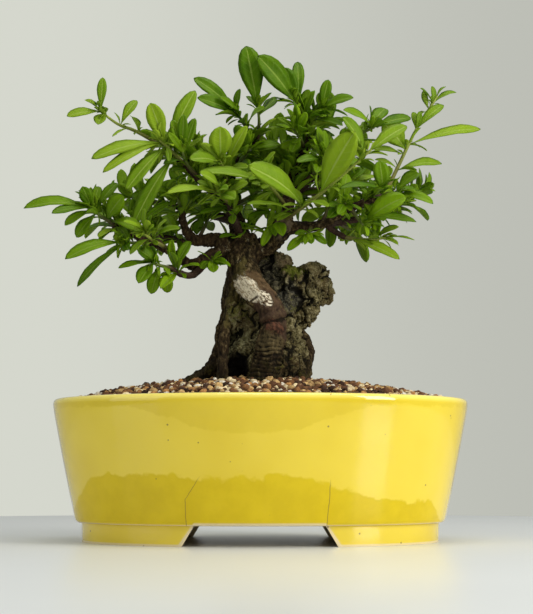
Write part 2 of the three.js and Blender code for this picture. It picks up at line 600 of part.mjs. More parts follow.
// A leaf set by rule, round the stem at the golden angle, with its upper face turned up and out of the
// crown. Later tries turn it on and shorten it.
function ruledLeaf(curve, length, index, count, seed, attempt) {
  const share = 0.34 + (0.64 * (index + 0.5)) / count;
  const foot = curve.getPoint(share);
  const stem = curve.getPoint(share + 0.01).sub(curve.getPoint(share - 0.01)).normalize();
  const level = new THREE.Vector3(-stem.y, stem.x, 0).normalize();
  const raised = new THREE.Vector3().crossVectors(stem, level);
  const angle = radians(index * TURN + 360 * chance(seed, 3) + attempt * TRY_TURN);
  const outward = level.multiplyScalar(Math.cos(angle)).addScaledVector(raised, Math.sin(angle));
  const open = radians(74 - 44 * share + 16 * (chance(seed, 4) - 0.5) + 3 * attempt);
  const along = stem.clone().multiplyScalar(Math.cos(open)).addScaledVector(outward, Math.sin(open));
  along.z += 0.12;
  along.normalize();
  const size = length * (0.78 + 0.42 * chance(seed, 5)) * (1 - 0.035 * attempt);
  const tip = foot.clone().addScaledVector(along, size);
  const facing = new THREE.Vector3(foot.x, 1.5 * foot.y, 0).normalize().multiplyScalar(0.75);
  facing.addScaledVector(stem, 0.4);
  facing.x += 0.8 * (chance(seed, 6) - 0.5);
  facing.y += 0.8 * (chance(seed, 7) - 0.5);
  facing.z += 0.8;
  const width = size * (0.36 + 0.1 * chance(seed, 8));
  const arch = 0.04 + 0.08 * chance(seed, 9);
  const fold = radians(12 + 16 * chance(seed, 10));
  return blade(foot, tip, facing, width, arch, fold);
}

function boxesMeet(a, b) {
  return [0, 1, 2].every((k) => a.min[k] <= b.max[k] && b.min[k] <= a.max[k]);
}

// Every solid that a leaf must stay clear of, with the spray that owns it and the volume, in cubic
// millimetres, that a leaf may share with it: a little at the wood, which the sprays are cut back from.
// Leaves of one spray may share a little too, because their stalks start close together.
const placed = [];

function place(owner, solid, shared) {
  placed.push({ owner, solid, shared, bounds: solid.boundingBox() });
}

function isClear(owner, solid, ownOverlap) {
  const bounds = solid.boundingBox();
  return placed.every((other) => {
    const shared = other.owner === owner ? ownOverlap : other.shared;
    return !boxesMeet(bounds, other.bounds) || solid.intersect(other.solid).volume() <= shared;
  });
}

// Puts a leaf at the first of its tries that is clear of the other sprays, the wood and the rock.
function grow(spray, ownOverlap, poseAt) {
  for (let attempt = 0; attempt < TRIES; attempt++) {
    const leaf = poseAt(attempt);
    if (!isClear(spray.name, bladeSolid(leaf, LEAF_CLEARANCE), ownOverlap)) continue;
    const solid = bladeSolid(leaf, 0);
    place(spray.name, solid, 0);
    spray.solids.push(solid);
    return;
  }
}

// A stem's points with its foot moved back along its first stretch, so that it reaches into the limb.
function setBack([foot, next, ...rest]) {
  const step = new THREE.Vector3(...foot).sub(new THREE.Vector3(...next)).setLength(STEM_SET);
  return [new THREE.Vector3(...foot).add(step).toArray(), next, ...rest];
}

function foliage(bareWood, thickWood, stone) {
  place("wood", bareWood, WOOD_OVERLAP);
  place("rock", stone, 0);
  const sprays = Object.entries(SPRAYS).map(([name, [kind, count, length, route, byHand]], row) => {
    const points = setBack(route);
    const curve = curveThrough(points);
    const line = points.map(([x, y, z], i) => {
      const share = i / (points.length - 1);
      return [x, y, z, STEM_FOOT_RADIUS + (STEM_TIP_RADIUS - STEM_FOOT_RADIUS) * share];
    });
    const stem = taperedTube(line, STEM_SIDES, 0);
    place(name, taperedTube(line, STEM_SIDES, LEAF_CLEARANCE), 0);
    return { name, kind, count, length, byHand, row, curve, solids: [stem] };
  });
  for (const spray of sprays)
    spray.byHand.forEach((leaf, i) => {
      const seed = 1000 * (spray.row + 1) + i;
      grow(spray, OWN_OVERLAP.byHand, (attempt) => handLeaf(spray.curve, leaf, seed, attempt));
    });
  for (const spray of sprays)
    for (let i = 0; i < spray.count; i++) {
      const seed = 1000 * (spray.row + 1) + 500 + i;
      grow(spray, OWN_OVERLAP.byRule, (attempt) =>
        ruledLeaf(spray.curve, spray.length, i, spray.count, seed, attempt),
      );
    }
  return sprays.map((spray) => {
    const joined = wasm.Manifold.union(spray.solids).subtract(thickWood);
    return { name: spray.name, kind: spray.kind, solid: largest(joined) };
  });
}

// Looks

const look = (color, roughness) => new THREE.MeshStandardMaterial({ color, roughness, metalness: 0 });
const GLAZE = look(0xe0c81e, 0.15);
const PLASTIC = look(0x2c2c2a, 0.6);
const GRIT = look(0x8a6a4a, 0.9);
const STONE = look(0x4a4a3c, 0.85);
const BARK = look(0x54443a, 0.8);
const LEAVES = { mature: look(0x2f6b1a, 0.4), young: look(0x6f9f2c, 0.4) };

// The whole object

const bareWood = wood(0);
const thickWood = wood(GAP);
const stone = largest(rock(0).subtract(thickWood));
let filling = soil().subtract(rock(GAP)).subtract(thickWood);
for (const x of [-DRAIN_X, DRAIN_X]) {
  const pocket = SCREEN_SIZE + 2 * GAP;
  filling = filling.subtract(box(x, 0, FLOOR - 1, pocket, pocket, 1 + 2 * GAP + SCREEN_THICKNESS));
}

const bonsai = new THREE.Group();
bonsai.add(meshOf("pot", pot(), GLAZE));
bonsai.add(meshOf("drain_screen_left", drainScreen(-DRAIN_X), PLASTIC));
bonsai.add(meshOf("drain_screen_right", drainScreen(DRAIN_X), PLASTIC));
bonsai.add(meshOf("soil", largest(filling), GRIT));
bonsai.add(meshOf("rock", stone, STONE));
bonsai.add(meshOf("wood", bareWood, BARK));
for (const { name, kind, solid } of foliage(bareWood, thickWood, stone))
  bonsai.add(meshOf("spray_" + name, solid, LEAVES[kind]));

export default bonsai;
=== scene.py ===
# %% [markdown]
# # A firethorn bonsai grown over a rock
#
# The object is one small tree with its pot: an oval bowl with a yellow glaze, a filling of mixed grit, a
# craggy stone, a trunk whose roots clasp that stone, and 51 leafy shoots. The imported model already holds
# each of them as a plain solid in its right place. This lesson dresses them, piece by piece, with shapes
# and finishes close to the real ones. All sizes in the tables are millimetres.

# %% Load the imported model
import math

import bmesh
import bpy
import numpy as np
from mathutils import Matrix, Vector, noise


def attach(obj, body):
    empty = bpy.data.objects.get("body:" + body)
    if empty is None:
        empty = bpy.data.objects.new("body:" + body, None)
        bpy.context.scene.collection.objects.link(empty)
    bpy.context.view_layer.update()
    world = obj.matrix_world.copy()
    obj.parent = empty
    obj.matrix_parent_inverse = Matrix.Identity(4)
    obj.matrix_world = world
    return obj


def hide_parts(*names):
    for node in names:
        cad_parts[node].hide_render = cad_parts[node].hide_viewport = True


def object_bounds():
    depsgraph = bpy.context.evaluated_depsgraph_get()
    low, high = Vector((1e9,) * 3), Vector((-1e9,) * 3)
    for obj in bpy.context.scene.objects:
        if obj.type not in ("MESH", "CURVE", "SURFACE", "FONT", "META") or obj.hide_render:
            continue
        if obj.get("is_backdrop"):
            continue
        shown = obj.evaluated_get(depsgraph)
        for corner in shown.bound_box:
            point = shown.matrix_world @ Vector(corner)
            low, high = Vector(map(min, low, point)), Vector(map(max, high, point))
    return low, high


MM = 0.001
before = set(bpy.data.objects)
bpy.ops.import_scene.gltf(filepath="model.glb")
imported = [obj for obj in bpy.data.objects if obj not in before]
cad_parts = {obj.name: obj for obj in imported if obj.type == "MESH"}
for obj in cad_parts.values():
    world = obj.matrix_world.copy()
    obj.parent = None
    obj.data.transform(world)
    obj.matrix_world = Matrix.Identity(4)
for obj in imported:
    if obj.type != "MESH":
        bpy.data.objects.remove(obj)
cad_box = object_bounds()
bpy.ops.object.select_all(action="DESELECT")
print("nodes in the packed model:", len(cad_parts))

# %% [markdown]
# ## The camera
#
# The photo was taken from just over a metre away, from a little lower than the pot's rim, with the lens
# tilted up at the crown. The camera is made first, so that each later step can be judged through it. The
# frame is taller than it is wide, and Blender measures the sensor's width along the longer side.

# %% Camera
SENSOR = 36
FOCAL_PIXELS = 1500
FRAME_HEIGHT = 614
CAMERA_PLACE = (4.1, -1020, 47.3)
CAMERA_TILT = math.radians(6.22)
NEAREST_SEEN = 50


def metres(*sizes):
    """Sizes in millimetres as the metres that Blender measures in."""
    return tuple(size * MM for size in sizes)


bpy.ops.object.camera_add(location=metres(*CAMERA_PLACE), rotation=(math.pi / 2 + CAMERA_TILT, 0, 0))
camera = bpy.context.object
camera.data.sensor_width = SENSOR
camera.data.lens = SENSOR * FOCAL_PIXELS / FRAME_HEIGHT
camera.data.clip_start = NEAREST_SEEN * MM
bpy.context.scene.camera = camera
print("lens, mm:", round(camera.data.lens, 1))

# %% [markdown]
# ## Shader maths as plain sums
#
# A finish is a small network of nodes. Wiring them one by one hides the idea behind it, so a Value wraps
# one output of a node and takes part in ordinary Python sums: each operator adds one Math node. Every
# other node comes from Finish.node, which sets the node up first and then fills or links its inputs. Most
# colours here are layers: a base colour, over which thin coats are laid one after the other, each through
# a mask that says where it lies and how strongly.

# %% Value: one output of a node
class Value:
    """One output of a node, with arithmetic."""

    def __init__(self, finish, socket):
        self.finish = finish
        self.socket = socket

    def math(self, operation, first, second):
        return self.finish.node("Math", {"operation": operation}, {0: first, 1: second})

    def __add__(self, other):
        return self.math("ADD", self, other)

    def __sub__(self, other):
        return self.math("SUBTRACT", self, other)

    def __rsub__(self, other):
        return self.math("SUBTRACT", other, self)

    def __mul__(self, other):
        return self.math("MULTIPLY", self, other)

    def __truediv__(self, other):
        return self.math("DIVIDE", self, other)

    def __abs__(self):
        return self.math("ABSOLUTE", self, 0)

    def __mod__(self, other):
        return self.math("FLOORED_MODULO", self, other)

    def at_least(self, other):
        return self.math("MAXIMUM", self, other)

    def at_most(self, other):
        return self.math("MINIMUM", self, other)

    __radd__ = __add__
    __rmul__ = __mul__


def wander(cloudy, reach):
    """A noise or a draw from 0 to 1 as a shift to both sides of 0, reach from end to end."""
    return (cloudy - 0.5) * reach


# %% Finish: a network that becomes a material
class Finish:
    """A material under construction, or a surround when it is given a world."""

    def __init__(self, name, world=None):
        self.material = world or bpy.data.materials.new(name)
        self.material.use_nodes = True
        self.tree = self.material.node_tree
        self.tree.nodes.clear()

    def node(self, kind, settings=None, inputs=None, output=0):
        """Adds a node: first its settings, then the values or links of its sockets."""
        node = self.tree.nodes.new("ShaderNode" + kind)
        for name, value in (settings or {}).items():
            if name == "stops":
                self.set_stops(node.color_ramp.elements, value)
            else:
                setattr(node, name, value)
        for name, value in (inputs or {}).items():
            socket = node.inputs[name]
            if isinstance(value, Value):
                self.tree.links.new(value.socket, socket)
            elif socket.type == "RGBA":
                socket.default_value = (*value, 1)
            else:
                socket.default_value = value
        return Value(self, node.outputs[output])

    def set_stops(self, elements, stops):
        elements.remove(elements[1])
        elements[0].position, elements[0].color = stops[0][0], (*stops[0][1], 1)
        for place, colour in stops[1:]:
            elements.new(place).color = (*colour, 1)

    def place(self):
        return self.node("TexCoord", output="Object")

    def parts(self, vector):
        """The x, y and z of a vector."""
        return [self.node("SeparateXYZ", inputs={0: vector}, output=k) for k in range(3)]

    def millimetres(self, place):
        """The x, y and z of a place, in millimetres."""
        return [part / MM for part in self.parts(place)]

    def upward(self):
        """How far the surface faces up: 1 on top, 0 on an upright wall and -1 underneath."""
        return self.parts(self.node("NewGeometry", output="Normal"))[2]

    def attribute(self, name, output="Fac"):
        return self.node("Attribute", {"attribute_name": name}, output=output)

    def noise(self, vector, size, detail=3, roughness=0.5):
        """Cloudy noise from 0 to 1, its patches about as large as size, in millimetres."""
        wanted = {"Vector": vector, "Scale": 1 / (size * MM), "Detail": detail, "Roughness": roughness}
        return self.node("TexNoise", inputs=wanted)

    def step(self, value, low, high):
        """0 below low, 1 above high and smooth between. With low over high it falls instead."""
        wanted = {"Value": value, "From Min": low, "From Max": high}
        return self.node("MapRange", {"interpolation_type": "SMOOTHSTEP"}, wanted)

    def ramp(self, value, stops):
        return self.node("ValToRGB", {"stops": stops}, {0: value})

    def mix(self, share, first, second, kind="MIX"):
        wanted = {0: share, 6: first, 7: second}
        return self.node("Mix", {"data_type": "RGBA", "blend_type": kind}, wanted, output=2)

    def layers(self, colour, *coats):
        """Lays coats over a colour one after the other, each given as its share and its own colour."""
        for share, coat in coats:
            colour = self.mix(share, colour, coat)
        return colour

    def bump(self, height, distance, strength=1.0):
        wanted = {"Height": height, "Distance": distance * MM, "Strength": strength}
        return self.node("Bump", inputs=wanted)

    def surface(self, **inputs):
        named = {name.replace("_", " "): value for name, value in inputs.items()}
        return self.node("BsdfPrincipled", inputs=named)

    def tell(self, state):
        print(self.material.name, state + ":", len(self.tree.nodes), "nodes")

    def end(self, shader, kind="Material"):
        """Ends the network with a shader, and gives the material."""
        last = self.tree.nodes.new("ShaderNodeOutput" + kind)
        self.tree.links.new(shader.socket, last.inputs["Surface"])
        self.tell("finished")
        return self.material

    def dress(self, pieces, **inputs):
        """Ends the network with an ordinary surface, and lays it all over some pieces."""
        material = self.end(self.surface(**inputs))
        for piece in pieces:
            piece.data.materials.clear()
            piece.data.materials.append(material)


# %% [markdown]
# ## Floor and light
#
# A plain pale table top and a plain pale surround show the tree without a story round it. The table top is
# round, so it looks the same from all sides. It has a slight sheen: the pot's wall leans out over it and
# mirrors it, and a dull table would leave the glaze looking dull. A large soft light hangs above. A tall
# one stands at the right like a window, because glaze shows its shape by the long highlight that a window
# gives. A weak one fills the shadows from the left.

# %% Floor
FLOOR_RADIUS = 620
FLOOR_THICKNESS = 18
FLOOR_SIDES = 160
FLOOR_EDGE = 4
TABLE_TOP = [(0.70, 0.715, 0.70), (0.74, 0.755, 0.74)]

bpy.ops.mesh.primitive_cylinder_add(
    vertices=FLOOR_SIDES,
    radius=FLOOR_RADIUS * MM,
    depth=FLOOR_THICKNESS * MM,
    location=metres(0, 0, -FLOOR_THICKNESS / 2),
)
floor = bpy.context.object
floor.name = "floor"
bpy.ops.object.modifier_add(type="BEVEL")
floor.modifiers[0].width = FLOOR_EDGE * MM
floor.modifiers[0].segments = 4
bpy.ops.object.modifier_apply(modifier=floor.modifiers[0].name)
bpy.ops.object.shade_smooth_by_angle(angle=math.radians(40))
floor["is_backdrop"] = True
print("floor faces:", len(floor.data.polygons))

table = Finish("table_top")
table.dress([floor], Base_Color=table.mix(table.noise(table.place(), 140), *TABLE_TOP), Roughness=0.3)

# %% Lights
LIT_POINT = (0, 0, 160)
WARM_WHITE = (1, 0.985, 0.95)
COOL_WHITE = (0.95, 0.975, 1)

# Each light's name, place, width, height, watts and colour.
LIGHTS = [
    ("light_above", (150, -250, 1350), 900, 800, 9, WARM_WHITE),
    ("light_window", (1050, -750, 550), 400, 900, 13, WARM_WHITE),
    ("light_left", (-1150, -700, 450), 700, 900, 2.5, COOL_WHITE),
]

for name, place, width, height, watts, colour in LIGHTS:
    bpy.ops.object.light_add(type="AREA", location=metres(*place))
    lamp = bpy.context.object
    lamp.name = name
    lamp.data.shape = "RECTANGLE"
    lamp.data.size = width * MM
    lamp.data.size_y = height * MM
    lamp.data.energy = watts
    lamp.data.color = colour
    lamp.rotation_euler = (Vector(LIT_POINT) - Vector(place)).to_track_quat("-Z", "Y").to_euler()
    lamp.visible_camera = False
print("lights:", len(LIGHTS))

# %% Surround
# The wall behind is seen paler at the left than at the right. What it sends into the scene is dimmer,
# as in a room whose light comes mostly from the window and the ceiling.
LEFT_WALL = (0.665, 0.680, 0.610)
RIGHT_WALL = (0.505, 0.515, 0.465)
ROOM_LIGHT = (0.40, 0.415, 0.40)

wall = Finish("surround", bpy.data.worlds.new("surround"))
sideways = wall.parts(wall.node("TexCoord", output="Generated"))[0]
wall_colour = wall.mix(wall.step(sideways, -0.17, 0.2), LEFT_WALL, RIGHT_WALL)
seen = wall.node("Background", inputs={"Color": wall_colour})
sent = wall.node("Background", inputs={"Color": ROOM_LIGHT})
by_camera = wall.node("LightPath", output="Is Camera Ray")
both = wall.node("MixShader", inputs={0: by_camera, 1: sent, 2: seen})
bpy.context.scene.world = wall.end(both, "World")
bpy.context.scene.view_settings.view_transform = "Standard"

# %% [markdown]
# ## Small tools of the workshop
#
# Three habits repeat in every step. A repeatable draw gives each grain and leaf its own look, the same in
# each run: its keys say which piece it is for, and the last key which of that piece's traits. A selection
# by place replaces the mouse: it marks the vertices whose coordinates pass a test. And a finished piece is
# handed over: it rides on the model's one body and stands for the plain solids that it replaces.

# %% A repeatable draw
WORD = 0xFFFFFFFF
FIRST_WORD = 2166136261
STIR = 16777619
STIR_AGAIN = 1540483477
KEY_SHIFT = 101


def chance(*keys):
    """A repeatable number from 0 to 1 for a list of whole numbers."""
    mixed = FIRST_WORD
    for key in keys:
        mixed = ((mixed ^ (key + KEY_SHIFT)) * STIR) & WORD
        mixed ^= mixed >> 13
        mixed = (mixed * STIR_AGAIN) & WORD
        mixed ^= mixed >> 15
    return mixed / (WORD + 1)


def between(low, high, *keys):
    """A repeatable number from low to high."""
    return low + (high - low) * chance(*keys)


print("three draws:", [round(chance(k), 3) for k in range(3)])


# %% Selecting and editing
def pick(*pieces):
    """Selects just these pieces. The first one is the active one."""
    bpy.ops.object.select_all(action="DESELECT")
    for piece in pieces:
        piece.select_set(True)
    bpy.context.view_layer.objects.active = pieces[0]


def edit(piece):
    pick(piece)
    bpy.ops.object.mode_set(mode="EDIT")


def done_editing():
    bpy.ops.object.mode_set(mode="OBJECT")
    return bpy.context.object


def select_vertices(test):
    """In edit mode, selects just the vertices whose place passes a test."""
    bpy.ops.mesh.select_all(action="DESELECT")
    shape = bmesh.from_edit_mesh(bpy.context.object.data)
    for vertex in shape.verts:
        vertex.select = bool(test(vertex.co))
    shape.select_flush(True)
    bmesh.update_edit_mesh(bpy.context.object.data)


# %% Modifying, joining and handing over
def modify(piece, kind, **settings):
    """Adds a modifier, sets it up and applies it."""
    pick(piece)
    bpy.ops.object.modifier_add(type=kind)
    modifier = piece.modifiers[-1]
    for name, value in settings.items():
        setattr(modifier, name, value)
    bpy.ops.object.modifier_apply(modifier=modifier.name)


def join(name, pieces):
    """Joins pieces into one object with its place in its mesh."""
    pick(*pieces)
    bpy.ops.object.join()
    whole = bpy.context.object
    whole.name = name
    bpy.ops.object.transform_apply(location=True, rotation=True, scale=True)
    return whole


def hand_over(piece, slot, *nodes):
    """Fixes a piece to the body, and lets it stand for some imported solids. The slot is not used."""
    bpy.ops.object.select_all(action="DESELECT")
    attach(piece, "root")
    if nodes:
        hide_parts(*nodes)
    print(piece.name, "faces:", len(piece.data.polygons))


# %% [markdown]
# ## The pot
#
# The real pot was pressed or thrown as an oval bowl and stands on two low walls that follow its ends, so
# that water runs away under the middle. An oval disc is extruded upwards ring by ring, each ring drawn
# in or out a little. The same stroke then turns over the lip and goes back down the inside, so that
# bowl, lip and inner wall are one closed skin. The foot walls are an oval hoop with a slanted gap cut
# from front to back.

# %% Sizes of the pot
RIM_HALF_LENGTH = 140
RIM_HALF_DEPTH = 105
BOWL_FLOOR = 21
POT_SIDES = 144
DRAIN_X = 52
DRAIN_RADIUS = 9
FOOT_HEIGHT = 13
FOOT_EDGE = 1.3
FOOT_GAP_TOP = 41
FOOT_GAP_BOTTOM = 50

# How far each ring stands in from the rim's outline, and its height.
BOWL_OUTSIDE = [
    (18.6, 13.0), (17.5, 13.1), (16.6, 13.6), (15.9, 14.6), (15.4, 16.0), (14.6, 19.5), (13.1, 26),
    (11.5, 33), (9.8, 41), (7.9, 50), (6.0, 59), (4.2, 68), (2.6, 76), (1.4, 82), (0.6, 86.5),
    (0.1, 90.0), (0.0, 91.6),
]
BOWL_LIP = [
    (0.15, 92.8), (0.6, 93.8), (1.3, 94.5), (2.4, 94.9), (3.8, 95.0), (5.4, 94.95), (6.9, 94.7), (8.1, 94.2),
    (8.9, 93.4), (9.4, 92.3), (9.7, 90.8),
]
BOWL_INSIDE = [
    (12.5, 78), (16.0, 62), (19.5, 46), (22.4, 33), (24.0, 26.5), (26.0, 22.6), (29.0, BOWL_FLOOR),
]
FOOT_OUTSIDE = [(20.4, 0), (19.5, 17)]
FOOT_INSIDE = [(29.5, -5), (29.0, 30)]
print("rings of the bowl:", len(BOWL_OUTSIDE + BOWL_LIP + BOWL_INSIDE))


# %% A body raised ring by ring
def oval(inset, height):
    """One ring of the pot: its half length, half depth and height."""
    return RIM_HALF_LENGTH - inset, RIM_HALF_DEPTH - inset, height


def raise_body(name, rings, sides=POT_SIDES):
    """A closed body made from a disc that is extruded from each ring to the next."""
    bpy.ops.mesh.primitive_circle_add(vertices=sides, radius=1, fill_type="NGON")
    bpy.context.object.name = name
    bpy.ops.object.mode_set(mode="EDIT")
    bpy.ops.mesh.select_all(action="SELECT")
    half_x, half_y, height = rings[0]
    bpy.ops.transform.resize(value=(half_x * MM, half_y * MM, 1), center_override=(0, 0, 0))
    bpy.ops.transform.translate(value=metres(0, 0, height))
    for next_x, next_y, next_height in rings[1:]:
        rise = metres(0, 0, next_height - height)
        bpy.ops.mesh.extrude_region_move(TRANSFORM_OT_translate={"value": rise})
        middle = metres(0, 0, next_height)
        bpy.ops.transform.resize(value=(next_x / half_x, next_y / half_y, 1), center_override=middle)
        half_x, half_y, height = next_x, next_y, next_height
    bpy.ops.mesh.select_all(action="SELECT")
    bpy.ops.mesh.normals_make_consistent(inside=False)
    return done_editing()


def cut(body, cutter):
    """Takes the cutter's shape out of a body, and the cutter is gone."""
    modify(body, "BOOLEAN", operation="DIFFERENCE", solver="EXACT", object=cutter)
    bpy.data.objects.remove(cutter)


# %% Bowl with its drain holes
DRILL_SIDES = 48
DRILL_LENGTH = 24
DRILL_MIDDLE = 17

bowl = raise_body("bowl", [oval(*ring) for ring in BOWL_OUTSIDE + BOWL_LIP + BOWL_INSIDE])
for side in (-1, 1):
    bpy.ops.mesh.primitive_cylinder_add(
        vertices=DRILL_SIDES,
        radius=DRAIN_RADIUS * MM,
        depth=DRILL_LENGTH * MM,
        location=metres(side * DRAIN_X, 0, DRILL_MIDDLE),
    )
    cut(bowl, bpy.context.object)
print("bowl faces:", len(bowl.data.polygons))

# %% Foot walls
# A cube becomes the cutter for the gap: as wide as the gap at its foot, narrowed at the top, and drawn on
# a little past the walls at both ends of its height.
CUTTER_ABOVE = 8
CUTTER_BELOW = 2

feet = raise_body("feet", [oval(*ring) for ring in FOOT_OUTSIDE])
cut(feet, raise_body("foot_core", [oval(*ring) for ring in FOOT_INSIDE]))
bpy.ops.mesh.primitive_cube_add(size=1)
bpy.ops.object.mode_set(mode="EDIT")
bpy.ops.transform.resize(value=metres(2 * FOOT_GAP_BOTTOM, 3 * RIM_HALF_DEPTH, FOOT_HEIGHT))
bpy.ops.transform.translate(value=metres(0, 0, FOOT_HEIGHT / 2))
select_vertices(lambda co: co.z > FOOT_HEIGHT / 2 * MM)
bpy.ops.transform.resize(value=(FOOT_GAP_TOP / FOOT_GAP_BOTTOM, 1, 1), center_override=(0, 0, 0))
bpy.ops.mesh.extrude_region_move(TRANSFORM_OT_translate={"value": metres(0, 0, CUTTER_ABOVE)})
select_vertices(lambda co: co.z < MM)
bpy.ops.transform.translate(value=metres(0, 0, -CUTTER_BELOW))
cut(feet, done_editing())
modify(feet, "BEVEL", width=FOOT_EDGE * MM, segments=3, limit_method="ANGLE", angle_limit=math.radians(50))
pot = join("glazed_pot", [bowl, feet])
bpy.ops.object.shade_smooth_by_angle(angle=math.radians(38))
hand_over(pot, "pot_glaze", "pot")

# %% [markdown]
# ### Its glaze
#
# The glaze is a bright lemon yellow and very glossy. It ran a little in the kiln: it is deeper where it
# gathered low on the bowl, with a wandering upper edge, and faintly so in a thick roll under the lip. Both
# deeper bands are also painted reflections: the low one of a dark surface below the pot, the roll of
# something dark further off. It is paler on the lip, and thin and cream on the cut edges of the feet. The
# underside is left bare, as on any pot that stands in a kiln. Pinholes show the clay in a few places, and a
# hairline crack rises from each end of the gap at the front. All of that is a stack of soft masks on the
# height and on noise.

# %% Glaze: lemon, and deeper where it gathered, with painted reflections
LEMON = [(0.765, 0.575, 0.030), (0.82, 0.63, 0.046)]
DEEP_YELLOW = [(0.62, 0.45, 0.002), (0.69, 0.51, 0.005)]
PALE_LIP = (0.95, 0.84, 0.24)
GATHERED_AND_REFLECTION_TOP = 43.5
FALL_AT_RIGHT = 15.5
FALL_AT_ENDS = 22
ROLL_AND_REFLECTION_EDGE = 70
ROLL_AND_REFLECTION_RISE = 18

glaze = Finish("yellow_glaze")
where = glaze.place()
x, y, z = glaze.millimetres(where)
cloud = glaze.noise(where, 60, 2)
ripple = glaze.noise(where, 14, 3, 0.6)
fine = glaze.noise(where, 4, 2)

# The deeper band low on the bowl is gathered glaze and also a painted reflection of a dark surface below the
# pot.
gathered_and_reflection_edge = GATHERED_AND_REFLECTION_TOP - glaze.step(x, 14, 84) * FALL_AT_RIGHT
gathered_and_reflection_edge = gathered_and_reflection_edge - glaze.step(abs(x), 107, 125) * FALL_AT_ENDS
gathered_and_reflection_edge = gathered_and_reflection_edge + wander(ripple, 17) + wander(cloud, 8)
gathered_and_reflection = glaze.step(z - gathered_and_reflection_edge, 1.2, -1.2) * glaze.step(z, FOOT_HEIGHT, FOOT_HEIGHT + 2)
# The faint roll under the lip is thicker glaze and also a painted reflection of something dark.
roll_and_reflection_edge = ROLL_AND_REFLECTION_EDGE + glaze.step(abs(x + 6), 8, 88) * ROLL_AND_REFLECTION_RISE + wander(ripple, 9)
roll_and_reflection = glaze.step(z - roll_and_reflection_edge, -0.8, 0.8) * glaze.step(z, 92.5, 90.5)
deep = glaze.mix(glaze.step(ripple, 0.3, 0.7), *DEEP_YELLOW)
colour = glaze.layers(
    glaze.mix(glaze.step(cloud, 0.35, 0.65), *LEMON),
    (gathered_and_reflection * 0.85, deep),
    (roll_and_reflection * 0.4, deep),
    (glaze.step(z, 90.5, 94.6) * 0.6, PALE_LIP),
)
glaze.tell("with its yellows")

# %% Glaze: where the clay is bare
# On the cut faces and the lower edge of the foot walls, inside their hoop, under the bowl, and faintly on
# the bowl over the gap.
BARE_CLAY = (0.80, 0.66, 0.40)
HOOP_INSET = 28
GAP_SLANT = (FOOT_GAP_BOTTOM - FOOT_GAP_TOP) / FOOT_HEIGHT

past_gap = abs(x) - (FOOT_GAP_BOTTOM - z * GAP_SLANT)
on_cut = glaze.step(past_gap, 1.9 + wander(fine, 1.2), 0.7) * glaze.step(z, 15.5, 14)
on_base = glaze.step(z, 1.9, 0.8)
over_gap = glaze.step(z, 13.75, 13.25) * glaze.step(past_gap, 3.2, 0.8)
underside = glaze.step(glaze.upward(), -0.6, -0.9) * glaze.step(z, 14.5, 13.5)
hoop = x * x / (RIM_HALF_LENGTH - HOOP_INSET) ** 2 + y * y / (RIM_HALF_DEPTH - HOOP_INSET) ** 2
inside_feet = glaze.step(hoop, 1.0, 0.985) * glaze.step(z, 14.5, 13.0)
bare = (on_cut + on_base * 0.85 + over_gap * 0.35 + underside + inside_feet).at_most(1)
glaze.tell("with its bare clay")

# %% Glaze: pinholes and two hairline cracks
# A pinhole is the middle of a cell of a cell pattern, in those cells whose own random colour says so. A
# crack is given by its x low down, halfway and high up, and by the height where it ends.
PINHOLE_CLAY = (0.20, 0.12, 0.03)
PINHOLE_PITCH = 9
CRACK_STAIN = (0.24, 0.16, 0.03)
CRACK_FOOT = 14
CRACKS = [(-45.5, -46.0, -36.0, 45), (41.5, 43.0, 43.5, 43)]

cells = {"Vector": where, "Scale": 1 / (PINHOLE_PITCH * MM), "Randomness": 1.0}
cell_distance = glaze.node("TexVoronoi", inputs=cells, output="Distance")
cell_draw = glaze.parts(glaze.node("TexVoronoi", inputs=cells, output="Color"))[0]
pinhole = glaze.step(cell_distance, 0.085, 0.050) * glaze.step(cell_draw, 0.62, 0.66)


def crack(x_low, x_middle, x_high, top):
    """A hairline on the front wall through three x places, from the bowl's bottom to a top height."""
    climb = (z - CRACK_FOOT) / (top - CRACK_FOOT)
    first = x_low + (x_middle - x_low) * 2 * climb
    second = x_middle + (x_high - x_middle) * 2 * (climb - 0.5)
    line = first + (second - first) * glaze.step(climb, 0.45, 0.55) + wander(ripple, 2.2)
    near = glaze.step(abs(x - line), 0.34, 0.12)
    return near * glaze.step(z, top, top - 6) * glaze.step(z, 12.8, 13.4) * glaze.step(y, -60, -62)


cracks = crack(*CRACKS[0]) + crack(*CRACKS[1])
colour = glaze.layers(
    colour,
    (bare, BARE_CLAY),
    (pinhole * 0.8, PINHOLE_CLAY),
    (cracks * 0.85, CRACK_STAIN),
)
glaze.tell("with pinholes and cracks")

# %% Glaze on the pot
height = wander(cloud, 0.9) + wander(ripple, 0.12) - pinhole * 0.4 - cracks * 0.3
glaze.dress(
    [pot],
    Base_Color=colour,
    Roughness=0.09 + wander(fine, 0.05) + bare * 0.45,
    Specular_IOR_Level=0.12,
    Coat_Weight=0.8 - gathered_and_reflection * 0.6,
    Coat_Roughness=0.04,
    Normal=glaze.bump(height, 0.9, 0.5),
)

# %% [markdown]
# ## Drain screens
#
# A square of plastic mesh keeps the grit from falling through each drain hole. A grid turned into wires
# by the Wireframe modifier is just that: woven-looking mesh with square holes.

# %% Drain screens
SCREEN_SIZE = 26
SCREEN_HEIGHT = BOWL_FLOOR + 1.1
SCREEN_CELLS = 9
SCREEN_WIRE = 1.2
BLACK_PLASTIC = [(0.018, 0.018, 0.017), (0.045, 0.043, 0.04)]

